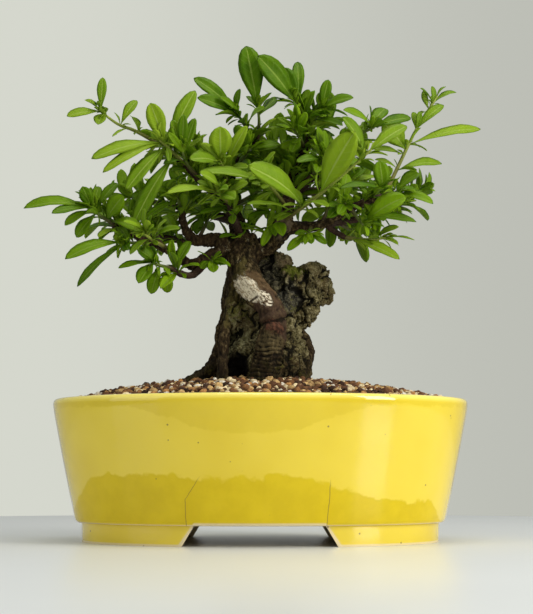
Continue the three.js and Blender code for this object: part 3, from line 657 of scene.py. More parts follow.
screens = {}
for side_name, side in (("left", -1), ("right", 1)):
    bpy.ops.mesh.primitive_grid_add(
        x_subdivisions=SCREEN_CELLS,
        y_subdivisions=SCREEN_CELLS,
        size=(SCREEN_SIZE - SCREEN_WIRE) * MM,
        location=metres(side * DRAIN_X, 0, SCREEN_HEIGHT),
    )
    screen = bpy.context.object
    modify(screen, "WIREFRAME", thickness=SCREEN_WIRE * MM, use_even_offset=False, use_replace=True)
    screens[side_name] = join("mesh_screen_" + side_name, [screen])

plastic = Finish("black_plastic_mesh")
scuff = plastic.noise(plastic.place(), 3)
plastic.dress(
    screens.values(),
    Base_Color=plastic.mix(scuff, *BLACK_PLASTIC),
    Roughness=0.45 + scuff * 0.25,
)
for side_name, screen in screens.items():
    hand_over(screen, "screen", "drain_screen_" + side_name)

# %% [markdown]
# ## The grit
#
# A bonsai grows in grit, not in garden soil: hard baked clay, pumice and lava, 2 to 6 mm across, so that
# water runs straight through. The filling is first one mound, raised in rings like the pot, dark and
# damp. Then a few grains are shaped by hand from a cube, and thousands of copies of them are strewn on
# the mound, turned, stretched and tinted by the repeatable draw.

# %% The mound
SOIL_INSET = 10.2
SOIL_EDGE = 92.5
SOIL_MOUND = 15
MOUND_POWER = 2.2
MOUND_STEPS = 16
MOUND_SIDES = 96
UNDER_GRAINS = 0.6
LUMPINESS = 0.8
BED_RINGS = [(30.5, 21.4), (25.4, 26.8), (SOIL_INSET + UNDER_GRAINS, 89.5)]
EDGE_X, EDGE_Y, _ = oval(SOIL_INSET, SOIL_EDGE)


def mound_height(share):
    """The height of the mound's surface, with a share of 1 at the pot's wall and 0 in the middle."""
    return SOIL_EDGE + SOIL_MOUND * (1 - share**MOUND_POWER)


soil_rings = [oval(*ring) for ring in BED_RINGS]
for k in range(MOUND_STEPS):
    share = 1 - k / MOUND_STEPS
    soil_rings.append((EDGE_X * share, EDGE_Y * share, mound_height(share) - UNDER_GRAINS))
soil = raise_body("grit_bed", soil_rings, MOUND_SIDES)
edit(soil)
select_vertices(lambda co: co.z > (SOIL_EDGE - 1) * MM)
bpy.ops.transform.vertex_random(offset=LUMPINESS * MM, seed=7)
soil = done_editing()
bpy.ops.object.shade_smooth()
print("rings of the mound:", len(soil_rings))

# %% Damp grit on the mound
DAMP_GRIT = [(0.008, 0.004, 0.002), (0.040, 0.020, 0.010)]

bed = Finish("damp_grit")
where = bed.place()
speck = bed.noise(where, 2.2, 3)
damp = bed.noise(where, 18)
bed.dress(
    [soil],
    Base_Color=bed.mix(speck, *DAMP_GRIT),
    Roughness=0.7 + damp * 0.25,
    Specular_IOR_Level=0.2,
    Normal=bed.bump(speck, 0.8),
)
hand_over(soil, "soil", "soil")

# %% A few grains by hand
GRAIN_SHAPES = 6
GRAIN_CUBE = 1.15
ROUNDNESS = 0.55
ROUNDER = 0.06
GRAIN_SHAKE = 0.16

grains = []
for k in range(GRAIN_SHAPES):
    bpy.ops.mesh.primitive_cube_add(size=GRAIN_CUBE)
    bpy.ops.object.mode_set(mode="EDIT")
    bpy.ops.mesh.select_all(action="SELECT")
    bpy.ops.mesh.subdivide(number_cuts=1)
    bpy.ops.transform.tosphere(value=ROUNDNESS + ROUNDER * k)
    bpy.ops.transform.vertex_random(offset=GRAIN_SHAKE, seed=k + 3)
    grain = done_editing()
    corners = np.array([vertex.co for vertex in grain.data.vertices])
    faces = np.array([list(face.vertices) for face in grain.data.polygons])
    grains.append((corners, faces))
    bpy.data.objects.remove(grain)
print("grain faces:", len(grains[0][1]))


# %% Turning a grain, and making a mesh of many
def turn_about(axis, angle):
    """The matrix of a turn about x, y or z, given as 0, 1 or 2."""
    one, other = (axis + 1) % 3, (axis + 2) % 3
    turn = np.eye(3)
    turn[one, one] = turn[other, other] = math.cos(angle)
    turn[one, other], turn[other, one] = -math.sin(angle), math.sin(angle)
    return turn


def turn_matrix(*keys):
    """A random turn in space, from three draws."""
    first, second, third = (2 * math.pi * chance(*keys, k) for k in (1, 2, 3))
    return turn_about(2, first) @ turn_about(0, second) @ turn_about(2, third)


def mesh_from(name, corners, faces):
    """A smooth object from corner places in millimetres and lists of corners."""
    mesh = bpy.data.meshes.new(name)
    mesh.from_pydata((np.asarray(corners) * MM).tolist(), [], [list(face) for face in faces])
    mesh.validate()
    mesh.shade_smooth()
    piece = bpy.data.objects.new(name, mesh)
    bpy.context.collection.objects.link(piece)
    return piece


def set_values(mesh, name, kind, values):
    """Keeps one value a vertex on a mesh, for a finish to read."""
    kept = mesh.attributes.new(name, kind, "POINT")
    flat = np.asarray(values, np.float32).ravel()
    kept.data.foreach_set("color" if kind == "FLOAT_COLOR" else "value", flat)


# %% Where the grains lie
GRAIN_PITCH = 3.8
ROW_STEP = 0.866
SHAKE = 0.8
WALL_CLEAR = 1.2
STONE_CLEAR = (24, 22)
KEY_START = 200


def grain_spots():
    """Where grains lie, on a staggered grid with a shake, clear of the pot's wall and the stone."""
    rows = int(EDGE_Y / (GRAIN_PITCH * ROW_STEP)) + 1
    columns = int(EDGE_X / GRAIN_PITCH) + 1
    for row in range(-rows, rows + 1):
        for column in range(-columns, columns + 1):
            keys = (row + KEY_START, column + KEY_START)
            x = (column + 0.5 * (row % 2) + wander(chance(*keys, 11), SHAKE)) * GRAIN_PITCH
            y = (row * ROW_STEP + wander(chance(*keys, 12), SHAKE)) * GRAIN_PITCH
            share = math.hypot(x / (EDGE_X - WALL_CLEAR), y / (EDGE_Y - WALL_CLEAR))
            if share < 1 and math.hypot(x / STONE_CLEAR[0], y / STONE_CLEAR[1]) > 1:
                yield keys, x, y, mound_height(share)


spots = list(grain_spots())
print("grains:", len(spots))

# %% Thousands of grains on the mound
GRAIN_HALF = 1.5
GRAIN_EXTRA = 2.1

# Each kind of grain: the draw up to which it is taken, and its colour.
GRAIN_KINDS = [
    (0.25, (0.140, 0.060, 0.024)),
    (0.42, (0.040, 0.018, 0.009)),
    (0.52, (0.230, 0.105, 0.036)),
    (0.62, (0.460, 0.230, 0.075)),
    (0.76, (0.640, 0.420, 0.170)),
    (0.91, (0.900, 0.740, 0.440)),
    (1.00, (0.880, 0.820, 0.680)),
]

all_corners, all_faces, all_tints = [], [], []
count = 0
for keys, x, y, height in spots:
    corners, faces = grains[int(chance(*keys, 13) * GRAIN_SHAPES)]
    half = GRAIN_HALF + GRAIN_EXTRA * chance(*keys, 14) ** 1.5
    stretch = np.array([half * between(0.8, 1.3, *keys, k) for k in (15, 16, 17)])
    middle = np.array([x, y, height + 1.5 * (chance(*keys, 18) - 0.45)])
    all_corners.append((corners * stretch) @ turn_matrix(*keys).T + middle)
    all_faces.append(faces + count)
    count += len(corners)
    draw = chance(*keys, 19)
    colour = next(c for most, c in GRAIN_KINDS if draw <= most)
    shade = between(0.75, 1.25, *keys, 20)
    all_tints.append(np.tile([*(shade * part for part in colour), 1], (len(corners), 1)))
loose = mesh_from("grit_grains", np.concatenate(all_corners), np.concatenate(all_faces))
set_values(loose.data, "tint", "FLOAT_COLOR", np.concatenate(all_tints))

# %% Stained, porous grains
PORE_SHADE = (0.35, 0.28, 0.22)
DAMP_STAIN = (0.13, 0.07, 0.04)

grit = Finish("grit_grains")
where = grit.place()
pore = grit.noise(where, 0.7, 2, 0.6)
stain = grit.noise(where, 2.4, 2)
own_tint = grit.attribute("tint", "Color")
pored = grit.mix(grit.step(pore, 0.62, 0.4) * 0.55, own_tint, PORE_SHADE, "MULTIPLY")
grit.dress(
    [loose],
    Base_Color=grit.mix(grit.step(stain, 0.42, 0.72) * 0.45, pored, DAMP_STAIN),
    Roughness=0.85,
    Specular_IOR_Level=0.2,
    Normal=grit.bump(pore, 0.35),
)
hand_over(loose, "soil")

# %% [markdown]
# ## The stone
#
# The stone is one hard, craggy piece with a knob that leans out to the right, deep clefts, and upright
# flutes where water wore it. It starts as a heap of rough balls at the places that the model gives, each
# shaken out of round. The Remesh modifier melts the heap into one even skin.

# %% A heap of rough balls
# The middle of each ball, and its half widths.
LUMPS = [
    ((3, 2, 148), (26.5, 26, 45)),
    ((-4, 0, 117), (26, 29, 29)),
    ((14, 4, 116), (21, 26, 30)),
    ((36, -2, 174), (13.2, 12.4, 15)),
    ((27, 0, 160), (14, 15, 17)),
    ((10.5, -1, 184), (11.5, 11.5, 13)),
    ((25, -6, 172), (10, 9, 13.5)),
    ((16.5, -3, 188), (5.5, 7, 6)),
    ((43, -3, 167), (6.5, 8, 8)),
    ((34, -6, 183), (6, 7, 5)),
    ((42, -1, 182), (5.5, 6, 5)),
    ((19, -14, 176), (7, 8, 10)),
    ((34, -9, 162), (7, 7, 9)),
    ((23, -5, 128), (8, 9, 12)),
    ((-16, -16, 150), (8, 8, 12)),
    ((-8, -22, 126), (9, 7, 10)),
]
LUMP_SHAKE = 1.3
STONE_CELL = 0.8

lumps = []
for k, (middle, halves) in enumerate(LUMPS):
    bpy.ops.mesh.primitive_ico_sphere_add(subdivisions=3, radius=1)
    bpy.ops.object.mode_set(mode="EDIT")
    bpy.ops.transform.resize(value=metres(*halves), center_override=(0, 0, 0))
    bpy.ops.transform.translate(value=metres(*middle))
    bpy.ops.transform.vertex_random(offset=LUMP_SHAKE * MM, seed=k + 1)
    lumps.append(done_editing())
stone = join("craggy_stone", lumps)
modify(stone, "REMESH", mode="VOXEL", voxel_size=STONE_CELL * MM)
modify(stone, "SMOOTH", factor=0.5, iterations=3)
print("stone corners:", len(stone.data.vertices))

# %% [markdown]
# ### Its clefts, flutes and pits
#
# The even skin is pushed in and out along its normals by several sizes of noise, each with its own depth.
# How far each vertex went is kept as relief, because the colours need it too: the hollows get painted
# shade and the crests a painted highlight.
# Low on the left side a small cave is pushed in between two roots. The noise gets a seed, because one of
# its kinds would else start from the clock and the stone would come out differently each time.


# %% Pushing a skin in and out
def push(piece, depth_at):
    """Moves each vertex along its normal by depth_at(place), in mm, and keeps the depth as relief."""
    mesh = piece.data
    count = len(mesh.vertices)
    places = np.empty(count * 3)
    mesh.vertices.foreach_get("co", places)
    places = places.reshape(-1, 3)
    normals = np.empty(count * 3)
    mesh.vertices.foreach_get("normal", normals)
    depths = np.array([depth_at(Vector(place)) for place in places / MM])
    places = places + normals.reshape(-1, 3) * depths[:, None] * MM
    mesh.vertices.foreach_set("co", places.ravel())
    set_values(mesh, "relief", "FLOAT", depths)
    mesh.update()
    print("relief, mm:", np.percentile(depths, [5, 25, 50, 75, 95]).round(2))


def stretched(place, size_x, size_y, size_z, shift=0):
    """A place measured in the sizes of a noise's patches. The shift picks another part of the noise."""
    return Vector((place.x / size_x + shift, place.y / size_y - shift, place.z / size_z))


def ridges(place, smoothness, finer, octaves):
    """Noise with sharp crests and round hollows, around 1."""
    return noise.ridged_multi_fractal(place, smoothness, finer, octaves, 1.0, 2.0)


def hump(value, middle, width):
    """1 at the middle, and falling off smoothly to both sides."""
    return math.exp(-((value - middle) / width) ** 2)


# %% Clefts, flutes, pits and a cave
ROCK_SEED = 6
ROCK_BOTTOM = 86.5
BEND = 4.0
CAVE_X, CAVE_Z = -15.5, 115.5
CAVE_HALF_X, CAVE_HALF_Z = 6, 8.5
CAVE_DEPTH = 4.5
STONE_FRONT = -8
BLOCK_DEPTH = 1.6
CLEFT_DEPTH = 3.0
CLEFT_WIDTH = 0.24
FLUTE_DEPTH = 1.2
PIT_DEPTH = 1.1
TOOTH_DEPTH = 0.6


def crag(place):
    """Ragged ledges and upright flutes with clefts between them, pits and a fine tooth."""
    bent = place + BEND * noise.noise_vector(place / 8)
    gaps, seeds = noise.voronoi(stretched(bent, 8, 9, 15, 3))
    cleft = min(1, (gaps[1] - gaps[0]) / CLEFT_WIDTH)
    block = noise.noise(seeds[0] * 2.7)
    coarse = max(0, noise.noise(stretched(place, 12, 12, 12, 21)) + 0.45)
    flutes = ridges(stretched(bent, 4.0, 4.0, 15, 8), 0.8, 2.2, 3) - 1
    pits = ridges(stretched(bent, 4.2, 4.2, 5, 4), 0.75, 2.3, 4) - 1
    tooth = noise.noise(place / 1.4) + 0.6 * noise.noise(place / 0.8)
    ledges = BLOCK_DEPTH * block + CLEFT_DEPTH * coarse * (cleft - 0.85)
    in_cave = hump(place.x, CAVE_X, CAVE_HALF_X) * hump(place.z, CAVE_Z, CAVE_HALF_Z)
    in_cave *= place.y < STONE_FRONT
    return ledges - FLUTE_DEPTH * flutes - PIT_DEPTH * pits + TOOTH_DEPTH * tooth - 0.2 - CAVE_DEPTH * in_cave


noise.seed_set(ROCK_SEED)
push(stone, crag)
edit(stone)
bpy.ops.mesh.select_all(action="SELECT")
bpy.ops.mesh.bisect(
    plane_co=metres(0, 0, ROCK_BOTTOM),
    plane_no=(0, 0, 1),
    use_fill=True,
    clear_inner=True,
)
stone = done_editing()
bpy.ops.object.shade_smooth()

# %% [markdown]
# ### Its colours
#
# The stone is grey-brown, with a painted highlight on its crests and painted shade, nearly black, in its
# clefts and hollows. Its places differ: a brown ledge at the top, painted shade in the recess beside the
# trunk with slate grey next to it, painted shade on the low left foot and in the small cave, a pale net on
# the left face, brown low on the right, and moss where dust and water stay, most of all in the saddle by
# the knob. The base is a ramp on a grainy noise, and each of those places is one coat over it.

# %% Stone: grain and places
STONE_STOPS = [
    (0.30, (0.012, 0.009, 0.004)),
    (0.43, (0.065, 0.053, 0.020)),
    (0.55, (0.190, 0.160, 0.066)),
    (0.70, (0.47, 0.41, 0.23)),
]
CAVE_SHADE_SPREAD = 1.3

rock = Finish("mossy_stone")
where = rock.place()
x, y, z = rock.millimetres(where)
relief = rock.attribute("relief")
cloud = rock.noise(where, 16, 3)
grain = rock.noise(where, 2.8, 5, 0.7)
fine = rock.noise(where, 0.9, 3)

ledge = rock.step(x + z * 0.35, 74, 82) * rock.step(x, 24, 20) * rock.step(z, 174, 182)
# Painted shade: the recess beside the trunk is darkened where shade falls.
painted_recess_shade = rock.step(z, 160, 172) * rock.step(x, 19, 12) * (1 - ledge)
slate = rock.step(abs(x - 20.5) + abs(z - 163) * 0.8, 13, 7) * rock.step(y, -8, -12)
# Painted shade: the low left foot of the stone is darkened where shade falls.
painted_stone_foot_shade = rock.step(z + cloud * 14, 130, 108) * rock.step(x, 2, -7)
left_face = rock.step(x, -5, -11) * rock.step(z, 120, 128) * rock.step(z, 160, 148)
left_net = left_face * rock.step(grain, 0.44, 0.60)
low_right = rock.step(z + cloud * 10, 134, 120) * rock.step(x, 6, 14)
# Painted highlight: the crests, where the relief stands out, are lightened.
painted_crest_highlight = rock.step(relief, -0.1, 1.3) * 0.45 * (1 - painted_stone_foot_shade) * (1 - painted_recess_shade * 0.8)
# Painted shade: the small cave between the roots is darkened nearly to black.
across = (x - CAVE_X) / (CAVE_HALF_X * CAVE_SHADE_SPREAD)
upwards = (z - CAVE_Z) / (CAVE_HALF_Z * CAVE_SHADE_SPREAD)
painted_cave_shade = rock.step(across * across + upwards * upwards + wander(cloud, 1.2), 1.3, 0.6) * rock.step(y, -4, -10)
rock.tell("with its places")

# %% Stone: moss
MOSS = [(0.022, 0.028, 0.002), (0.150, 0.145, 0.012)]
SADDLE_MOSS = [(0.040, 0.055, 0.004), (0.17, 0.20, 0.015)]

mossy = rock.step(rock.upward() * 0.45 + wander(cloud, 2.4) + wander(grain, 1.6), 0.30, 0.62)
mossy = mossy * rock.step(relief, -2.0, -0.6)
saddle = rock.step(abs(x - 22) / 10 + abs(z - 182) / 7 + wander(grain, 2.5), 1.0, 0.5) * rock.step(y, 4, -4)
rock.tell("with its moss")

# %% Stone: its coats of colour
colour = rock.layers(
    rock.ramp(grain, STONE_STOPS),
    (rock.step(cloud, 0.42, 0.62) * 0.45, (0.110, 0.070, 0.028)),
    (ledge * 0.6, (0.190, 0.130, 0.070)),
    (painted_recess_shade * 0.7, (0.022, 0.022, 0.021)),
    (slate * 0.65, (0.040, 0.044, 0.046)),
    (painted_stone_foot_shade * 0.55, (0.006, 0.005, 0.002)),
    (painted_crest_highlight, (0.33, 0.285, 0.155)),
    (rock.step(fine, 0.57, 0.66) * (1 - painted_stone_foot_shade) * 0.35, (0.42, 0.37, 0.22)),
    (rock.step(fine, 0.43, 0.35) * 0.6, (0.010, 0.008, 0.004)),
    (left_net * 0.5, (0.30, 0.29, 0.15)),
    (low_right * 0.5, (0.050, 0.027, 0.011)),
    # Painted shade: the hollows, where the relief sinks, are darkened nearly to black.
    (rock.step(relief, -0.4, -1.6) * 0.95, (0.005, 0.004, 0.002)),
    (mossy * 0.6, rock.mix(fine, *MOSS)),
    (saddle * 0.7, rock.mix(fine, *SADDLE_MOSS)),
    (painted_cave_shade * 0.9, (0.003, 0.002, 0.001)),
)
rock.dress(
    [stone],
    Base_Color=colour,
    Roughness=0.8 + mossy * 0.15,
    Specular_IOR_Level=0.10,
    Normal=rock.bump(grain + fine * 0.6, 1.9),
)
hand_over(stone, "rock", "rock")

# %% [markdown]
# ## Trunk, roots and branches
#
# The tree grew as one: roots that grip the stone, a short trunk, limbs and twigs. Each limb is a round tube
# along a smooth curve through the points that the model gives, its skin swollen and fluted a little. The
# thick limbs are melted into one skin like the stone was, so that they flow into each other at the
# forks. Twigs stay as fine tubes with a knot at each bud, because melting would eat them.

# %% The tree's plan: middle lines and radii
THICK_LIMBS = {
    "front_root": [
        (-13, -6, 206, 9), (-13, -8, 196, 10.4), (-11, -14, 182, 10), (-5, -22, 170, 9.6),
        (5, -29, 157, 8.6), (9.3, -33, 143, 8), (7, -34, 129, 9), (4, -34, 116, 9.8),
        (1, -35, 104, 10.4), (-1, -36, 90, 9),
    ],
    "left_root": [
        (-14, -9, 184, 7.8), (-16.5, -11, 168, 5.6), (-21, -13, 154, 4.6), (-25, -15, 141, 4.4),
        (-27, -16, 128, 4.8), (-31.5, -18, 116, 5.4), (-43, -20, 106.5, 5), (-55, -23, 99, 4.2),
        (-66, -25, 92, 4),
    ],
    "thin_root": [
        (-19, -14, 162, 3.4), (-22, -20, 147, 3.2), (-24, -26, 132, 3.4), (-25, -30, 118, 3.6),
        (-24.5, -32, 104, 4), (-24, -33, 92, 4),
    ],
    "right_root": [
        (-6, 6, 184, 9), (6, 20, 168, 7.5), (20, 27, 150, 6.5), (29, 19, 136, 6), (31, 5, 126, 5.5),
        (28.5, -7, 115, 5), (24.5, -13, 104, 5.4), (23, -16, 91, 5),
    ],
    "back_root": [
        (-14, 2, 186, 9), (-19, 16, 170, 8), (-20, 28, 150, 7.5), (-22, 34, 130, 7.5),
        (-26, 38, 112, 8), (-32, 42, 100, 6.5), (-37, 45, 91, 5),
    ],
    "back_middle_root": [
        (-4, 8, 178, 7), (4, 30, 158, 6), (6, 38, 138, 6), (8, 41, 120, 6.5), (10, 44, 104, 7),
        (12, 46, 91, 5),
    ],
    "right_limb": [
        (-12, -8, 193, 10), (-2, -10, 197, 7.2), (8, -11, 201, 6), (14, -11, 211, 7),
        (17, -9, 222, 6.2), (18, -2, 235, 5.2), (20, 5, 248, 4.6), (26, 8, 261, 3.8),
        (33, 8, 272, 3), (33, 7, 282, 2.6), (30, 6, 292, 2.2),
    ],
    "left_limb": [
        (-14, -6, 200, 9), (-15, -4, 211, 6.6), (-18, 0, 222, 5), (-22, 4, 234, 4), (-22, 6, 246, 3.2),
        (-17, 8, 258, 2.7), (-9, 6, 270, 2.3), (-3, 3, 276, 2),
    ],
    "left_branch": [
        (-16, -8, 199, 7.5), (-30, -10, 203, 5), (-43, -10, 203, 4), (-50, -9, 209, 3.2),
        (-53, -9, 217, 2.6), (-53, -10, 222, 2.1),
    ],
    "left_long_branch": [
        (-22, -10, 196, 6), (-36, -16, 190, 4.2), (-46, -20, 185, 3.8), (-55, -23, 190, 3.2),
        (-66, -26, 196, 2.8), (-80, -28, 201, 2.4), (-92, -29, 207, 2.1), (-98, -30, 210, 1.8),
    ],
    "right_branch": [
        (16, -10, 212, 5), (30, -14, 211, 3.3), (42, -18, 213, 2.8), (55, -22, 219, 2.6),
        (68, -25, 226, 2.3), (79, -26, 229, 1.9),
    ],
}
TWIGS = {
    "left_low_twig": [
        (-38, -17, 188, 3.2), (-41, -22, 181, 2.8), (-47, -25, 177, 2.5), (-54, -28, 178, 2.3),
        (-60, -32, 181, 1.9),
    ],
    "upper_left_branch": [(-21, 3, 232, 3.4), (-34, -8, 238, 2.8), (-44, -15, 246, 2.4), (-51, -21, 253, 2)],
    "far_left_twig": [(-42, -14, 245, 2.2), (-54, -14, 256, 1.9), (-67, -19, 267, 1.5)],
    "right_low_twig": [(44, -18, 213, 2.5), (51, -20, 207, 2.2), (57, -22, 203, 1.9)],
    "right_shoot_twig": [(64, -24, 224, 2.3), (76, -16, 230, 2), (86, -7, 236, 1.8)],
    "right_top_branch": [
        (17, -4, 232, 4), (32, -6, 244, 3.2), (44, -6, 256, 2.6), (52, -6, 265, 2.2), (57, -6, 271, 1.9),
    ],
    "back_left_branch": [
        (-17, 0, 218, 4.2), (-30, 16, 224, 3.4), (-46, 32, 230, 2.8), (-62, 44, 236, 2.3),
        (-75, 51, 240, 1.9),
    ],
    "back_branch": [
        (17, 0, 234, 4.2), (12, 18, 240, 3.4), (6, 36, 246, 2.8), (2, 52, 252, 2.3), (0, 63, 256, 1.9),
    ],
    "back_right_branch": [(18, 0, 238, 4), (34, 18, 242, 3.3), (50, 34, 246, 2.6), (65, 45, 250, 1.9)],
    "low_left_branch": [
        (-18, 2, 204, 4.4), (-38, 12, 206, 3.4), (-56, 22, 208, 2.8), (-76, 26, 212, 2.3),
        (-91, 26, 218, 1.9),
    ],
    "low_right_branch": [
        (14, -6, 213, 4.4), (34, 8, 216, 3.3), (54, 18, 220, 2.8), (76, 22, 225, 2.3), (91, 20, 230, 1.9),
    ],
    "front_twig": [(-13, -12, 206, 3.4), (-18, -18, 217, 2.6), (-22, -23, 227, 1.9)],
}
BURLS = [(15, -14, 213, 7), (8, -38, 140, 6)]
print("thick limbs:", len(THICK_LIMBS), "twigs:", len(TWIGS))


# %% A smooth curve through points
def curve_point(points, share):
    """The point at a share of the smooth curve through some points. Each goes from one to the next."""
    last = len(points) - 1
    k = min(int(last * share), last - 1)
    part = last * share - k
    start, end = points[k], points[k + 1]
    before = points[k - 1] if k > 0 else 2 * points[0] - points[1]
    after = points[k + 2] if k + 2 <= last else 2 * points[last] - points[last - 1]
    leave, arrive = (end - before) / 2, (after - start) / 2
    squared = 3 * (end - start) - 2 * leave - arrive
    cubed = 2 * (start - end) + leave + arrive
    return start + leave * part + squared * part**2 + cubed * part**3


def unit(vector):
    return vector / np.linalg.norm(vector)


def radius_at(line, share):
    """The radius at a share of a line of (x, y, z, radius) points."""
    return float(np.interp(share * (len(line) - 1), range(len(line)), line[:, 3]))


# %% A tube along such a curve
FIRST_ACROSS = np.array([0.31, 0.9, 0.3])
LOOK_AHEAD = 0.004
TIP_LENGTH = 0.6


def tube(line, sides, steps, swell):
    """Corners and faces of a tube along (x, y, z, radius) points. swell(angle, run) is its skin's shape."""
    line = np.array(line, float)
    count = (len(line) - 1) * steps
    corners = []
    across = unit(FIRST_ACROSS)
    run = 0
    previous = line[0, :3]
    for k in range(count + 1):
        middle = curve_point(line[:, :3], k / count)
        after = curve_point(line[:, :3], min(k / count + LOOK_AHEAD, 1))
        before = curve_point(line[:, :3], max(k / count - LOOK_AHEAD, 0))
        ahead = unit(after - before)
        over = unit(np.cross(ahead, across))
        across = unit(np.cross(over, ahead))
        run += np.linalg.norm(middle - previous)
        previous = middle
        radius = radius_at(line, k / count)
        for j in range(sides):
            angle = 2 * math.pi * j / sides
            reach = radius * swell(angle, run)
            corners.append(middle + reach * (across * math.cos(angle) + over * math.sin(angle)))
    corners += [line[0, :3], line[-1, :3] + ahead * line[-1, 3] * TIP_LENGTH]
    faces = []
    for k in range(count):
        low, high = k * sides, (k + 1) * sides
        for j in range(sides):
            n = (j + 1) % sides
            faces.append((low + j, low + n, high + n, high + j))
    first, last = len(corners) - 2, len(corners) - 1
    for j in range(sides):
        n = (j + 1) % sides
        faces.append((first, n, j))
        faces.append((last, count * sides + j, count * sides + n))
    return np.array(corners), faces


# %% Thick limbs, melted together
LIMB_SIDES = 26
LIMB_STEPS = 6
LIMB_FLUTING = 0.2
WOOD_CELL = 0.85
BURL_SHAKE = 0.6


def fluted(seed):
    """The skin of a thick limb: swollen in places and fluted along its length."""
    def swell(angle, run):
        round_place = Vector((math.cos(angle) * 1.5, math.sin(angle) * 1.5, run / 34 + 7.3 * seed))
        long_place = Vector((math.cos(angle) * 4.2, math.sin(angle) * 4.2, run / 60 + 3.1 * seed))
        return 0.97 + LIMB_FLUTING * noise.noise(round_place) + LIMB_FLUTING / 2 * noise.noise(long_place)
    return swell


limbs = []
for seed, (name, line) in enumerate(THICK_LIMBS.items()):
    limbs.append(mesh_from(name, *tube(line, LIMB_SIDES, LIMB_STEPS, fluted(seed))))
for x, y, z, radius in BURLS:
    bpy.ops.mesh.primitive_ico_sphere_add(subdivisions=3, radius=radius * MM, location=metres(x, y, z))
    bpy.ops.object.mode_set(mode="EDIT")
    bpy.ops.transform.vertex_random(offset=BURL_SHAKE * MM, seed=int(z))
    limbs.append(done_editing())
trunk = join("trunk_and_roots", limbs)
modify(trunk, "REMESH", mode="VOXEL", voxel_size=WOOD_CELL * MM)
modify(trunk, "SMOOTH", factor=0.5, iterations=4)
print("trunk corners:", len(trunk.data.vertices))

# %% [markdown]
# ### Fissures, wrinkles and the old wound
#
# The melted skin is pushed in and out like the stone's: lengthwise fissures and lumps everywhere, and on
# the front root a fold, with wrinkles below it where the root was pressed against the stone. The old
# wound above the fold is smooth and has a low swollen lip. It is two ellipses on the front of the tree,
# turned to lie along the wood: the bare patch itself and its frayed tail.

# %% Places on the front of the tree
# Each is given by its middle's x and z, its half widths along and across, its turn, and the raggedness
# of its edge.
WOUND_TURN = math.radians(-44)
WOUND = ((-8.0, 167.6), (11.2, 6.4), WOUND_TURN, 1.7)
WOUND_TAIL = ((2.2, 160.6), (8.0, 4.4), WOUND_TURN, 1.8)
WOUND_RIM = ((-0.5, 167.5), (17, 8), WOUND_TURN, 1.6)
SMOOTH_SKIN = ((7, 151), (20, 9), math.radians(-62), 1.6)
BLUSH = ((9.3, 141), (7, 4.4), math.radians(-28), 2.4)
CALLUS = ((6.5, 130), (9, 8), 0, 2.2)
CUT_LIMB = ((14.6, 210.4), (9, 6), math.radians(72), 2.0)
MOSSY_SIDE = ((-17, 166), (26, 5), math.radians(76), 2.4)


def along_and_across(x, z, middle, turn):
    """A place on the front, measured from a middle along and across a turned line."""
    dx, dz = x - middle[0], z - middle[1]
    sine, cosine = math.sin(turn), math.cos(turn)
    return dx * cosine + dz * sine, dz * cosine - dx * sine


def reach_of(x, z, middle, half, turn):
    """How far out of an ellipse a place lies: 0 at its middle and 1 on its edge, squared."""
    along, across = along_and_across(x, z, middle, turn)
    return along * along / half[0] ** 2 + across * across / half[1] ** 2


# %% Pushing the bark in and out
FISSURE_DEPTH = 0.8
LUMP_DEPTH = 0.9
SKIN_DEPTH = 0.3
WRINKLE_DEPTH = 1.7
WRINKLES_UNDER = 138
FOLD_HEIGHT = 145.5
FOLD_DEPTH = 1.2
CREASE_HEIGHT = 142.3
CREASE_DEPTH = 1.3
WOUND_LIP = 0.8
LIP_FROM = 150
SMOOTH_FROM = 146
ROOT_FRONT = -18
ROOT_SIDES = (-14, 26)


def bark_depth(place):
    """Lengthwise fissures and lumps, and on the front root the fold, the wrinkles and the wound's lip."""
    fissures = 1.1 - ridges(stretched(place, 3.4, 3.4, 10, 5), 0.9, 2.1, 3)
    lumps = noise.noise(place / 7.5) + 0.7 * noise.noise(place / 3.2)
    skin = noise.noise(place / 1.4)
    rough, lip, wrinkles = 1, 0, 0
    on_front_root = place.y < ROOT_FRONT and ROOT_SIDES[0] < place.x < ROOT_SIDES[1]
    if on_front_root:
        fold = place.z + 2.5 * noise.noise(place / 8) - 0.25 * place.x
        lip = FOLD_DEPTH * hump(fold, FOLD_HEIGHT, 2.0) - CREASE_DEPTH * hump(fold, CREASE_HEIGHT, 1.2)
        reach = min(
            reach_of(place.x, place.z, middle, half, turn) for middle, half, turn, _ in (WOUND, WOUND_TAIL)
        )
        rough = 0.12 + 0.6 * min(1, reach**2) if place.z > SMOOTH_FROM else 0.75
        lip += WOUND_LIP * hump(reach, 1.45, 0.4) * (place.z > LIP_FROM)
    if on_front_root and place.z < WRINKLES_UNDER:
        wave = abs(math.sin(place.z * 1.1 + 0.14 * place.x + 2.4 * noise.noise(stretched(place, 9, 9, 7, 6))))
        strength = 0.8 + 0.9 * noise.noise(stretched(place, 5, 5, 8, 2))
        wrinkles = WRINKLE_DEPTH * (wave - 0.7) * strength * min(1, (WRINKLES_UNDER - place.z) / 8)
    return rough * (FISSURE_DEPTH * fissures + LUMP_DEPTH * lumps + SKIN_DEPTH * skin) + wrinkles + lip


push(trunk, bark_depth)
bpy.ops.object.shade_smooth()

# %% Twigs
TWIG_SIDES = 14
TWIG_STEPS = 9
KNOT_PITCH = 9.5
KNOT_HEIGHT = 0.16


def knotted(seed):
    """The skin of a twig: a little uneven, with a knot at each bud."""
    def swell(angle, run):
        place = Vector((math.cos(angle), math.sin(angle), run / 9 + 5.7 * seed))
        knot = hump((run + 3 * seed) % KNOT_PITCH, 4.7, 1.1)
        return 0.9 + 0.12 * noise.noise(place) + KNOT_HEIGHT * knot
    return swell


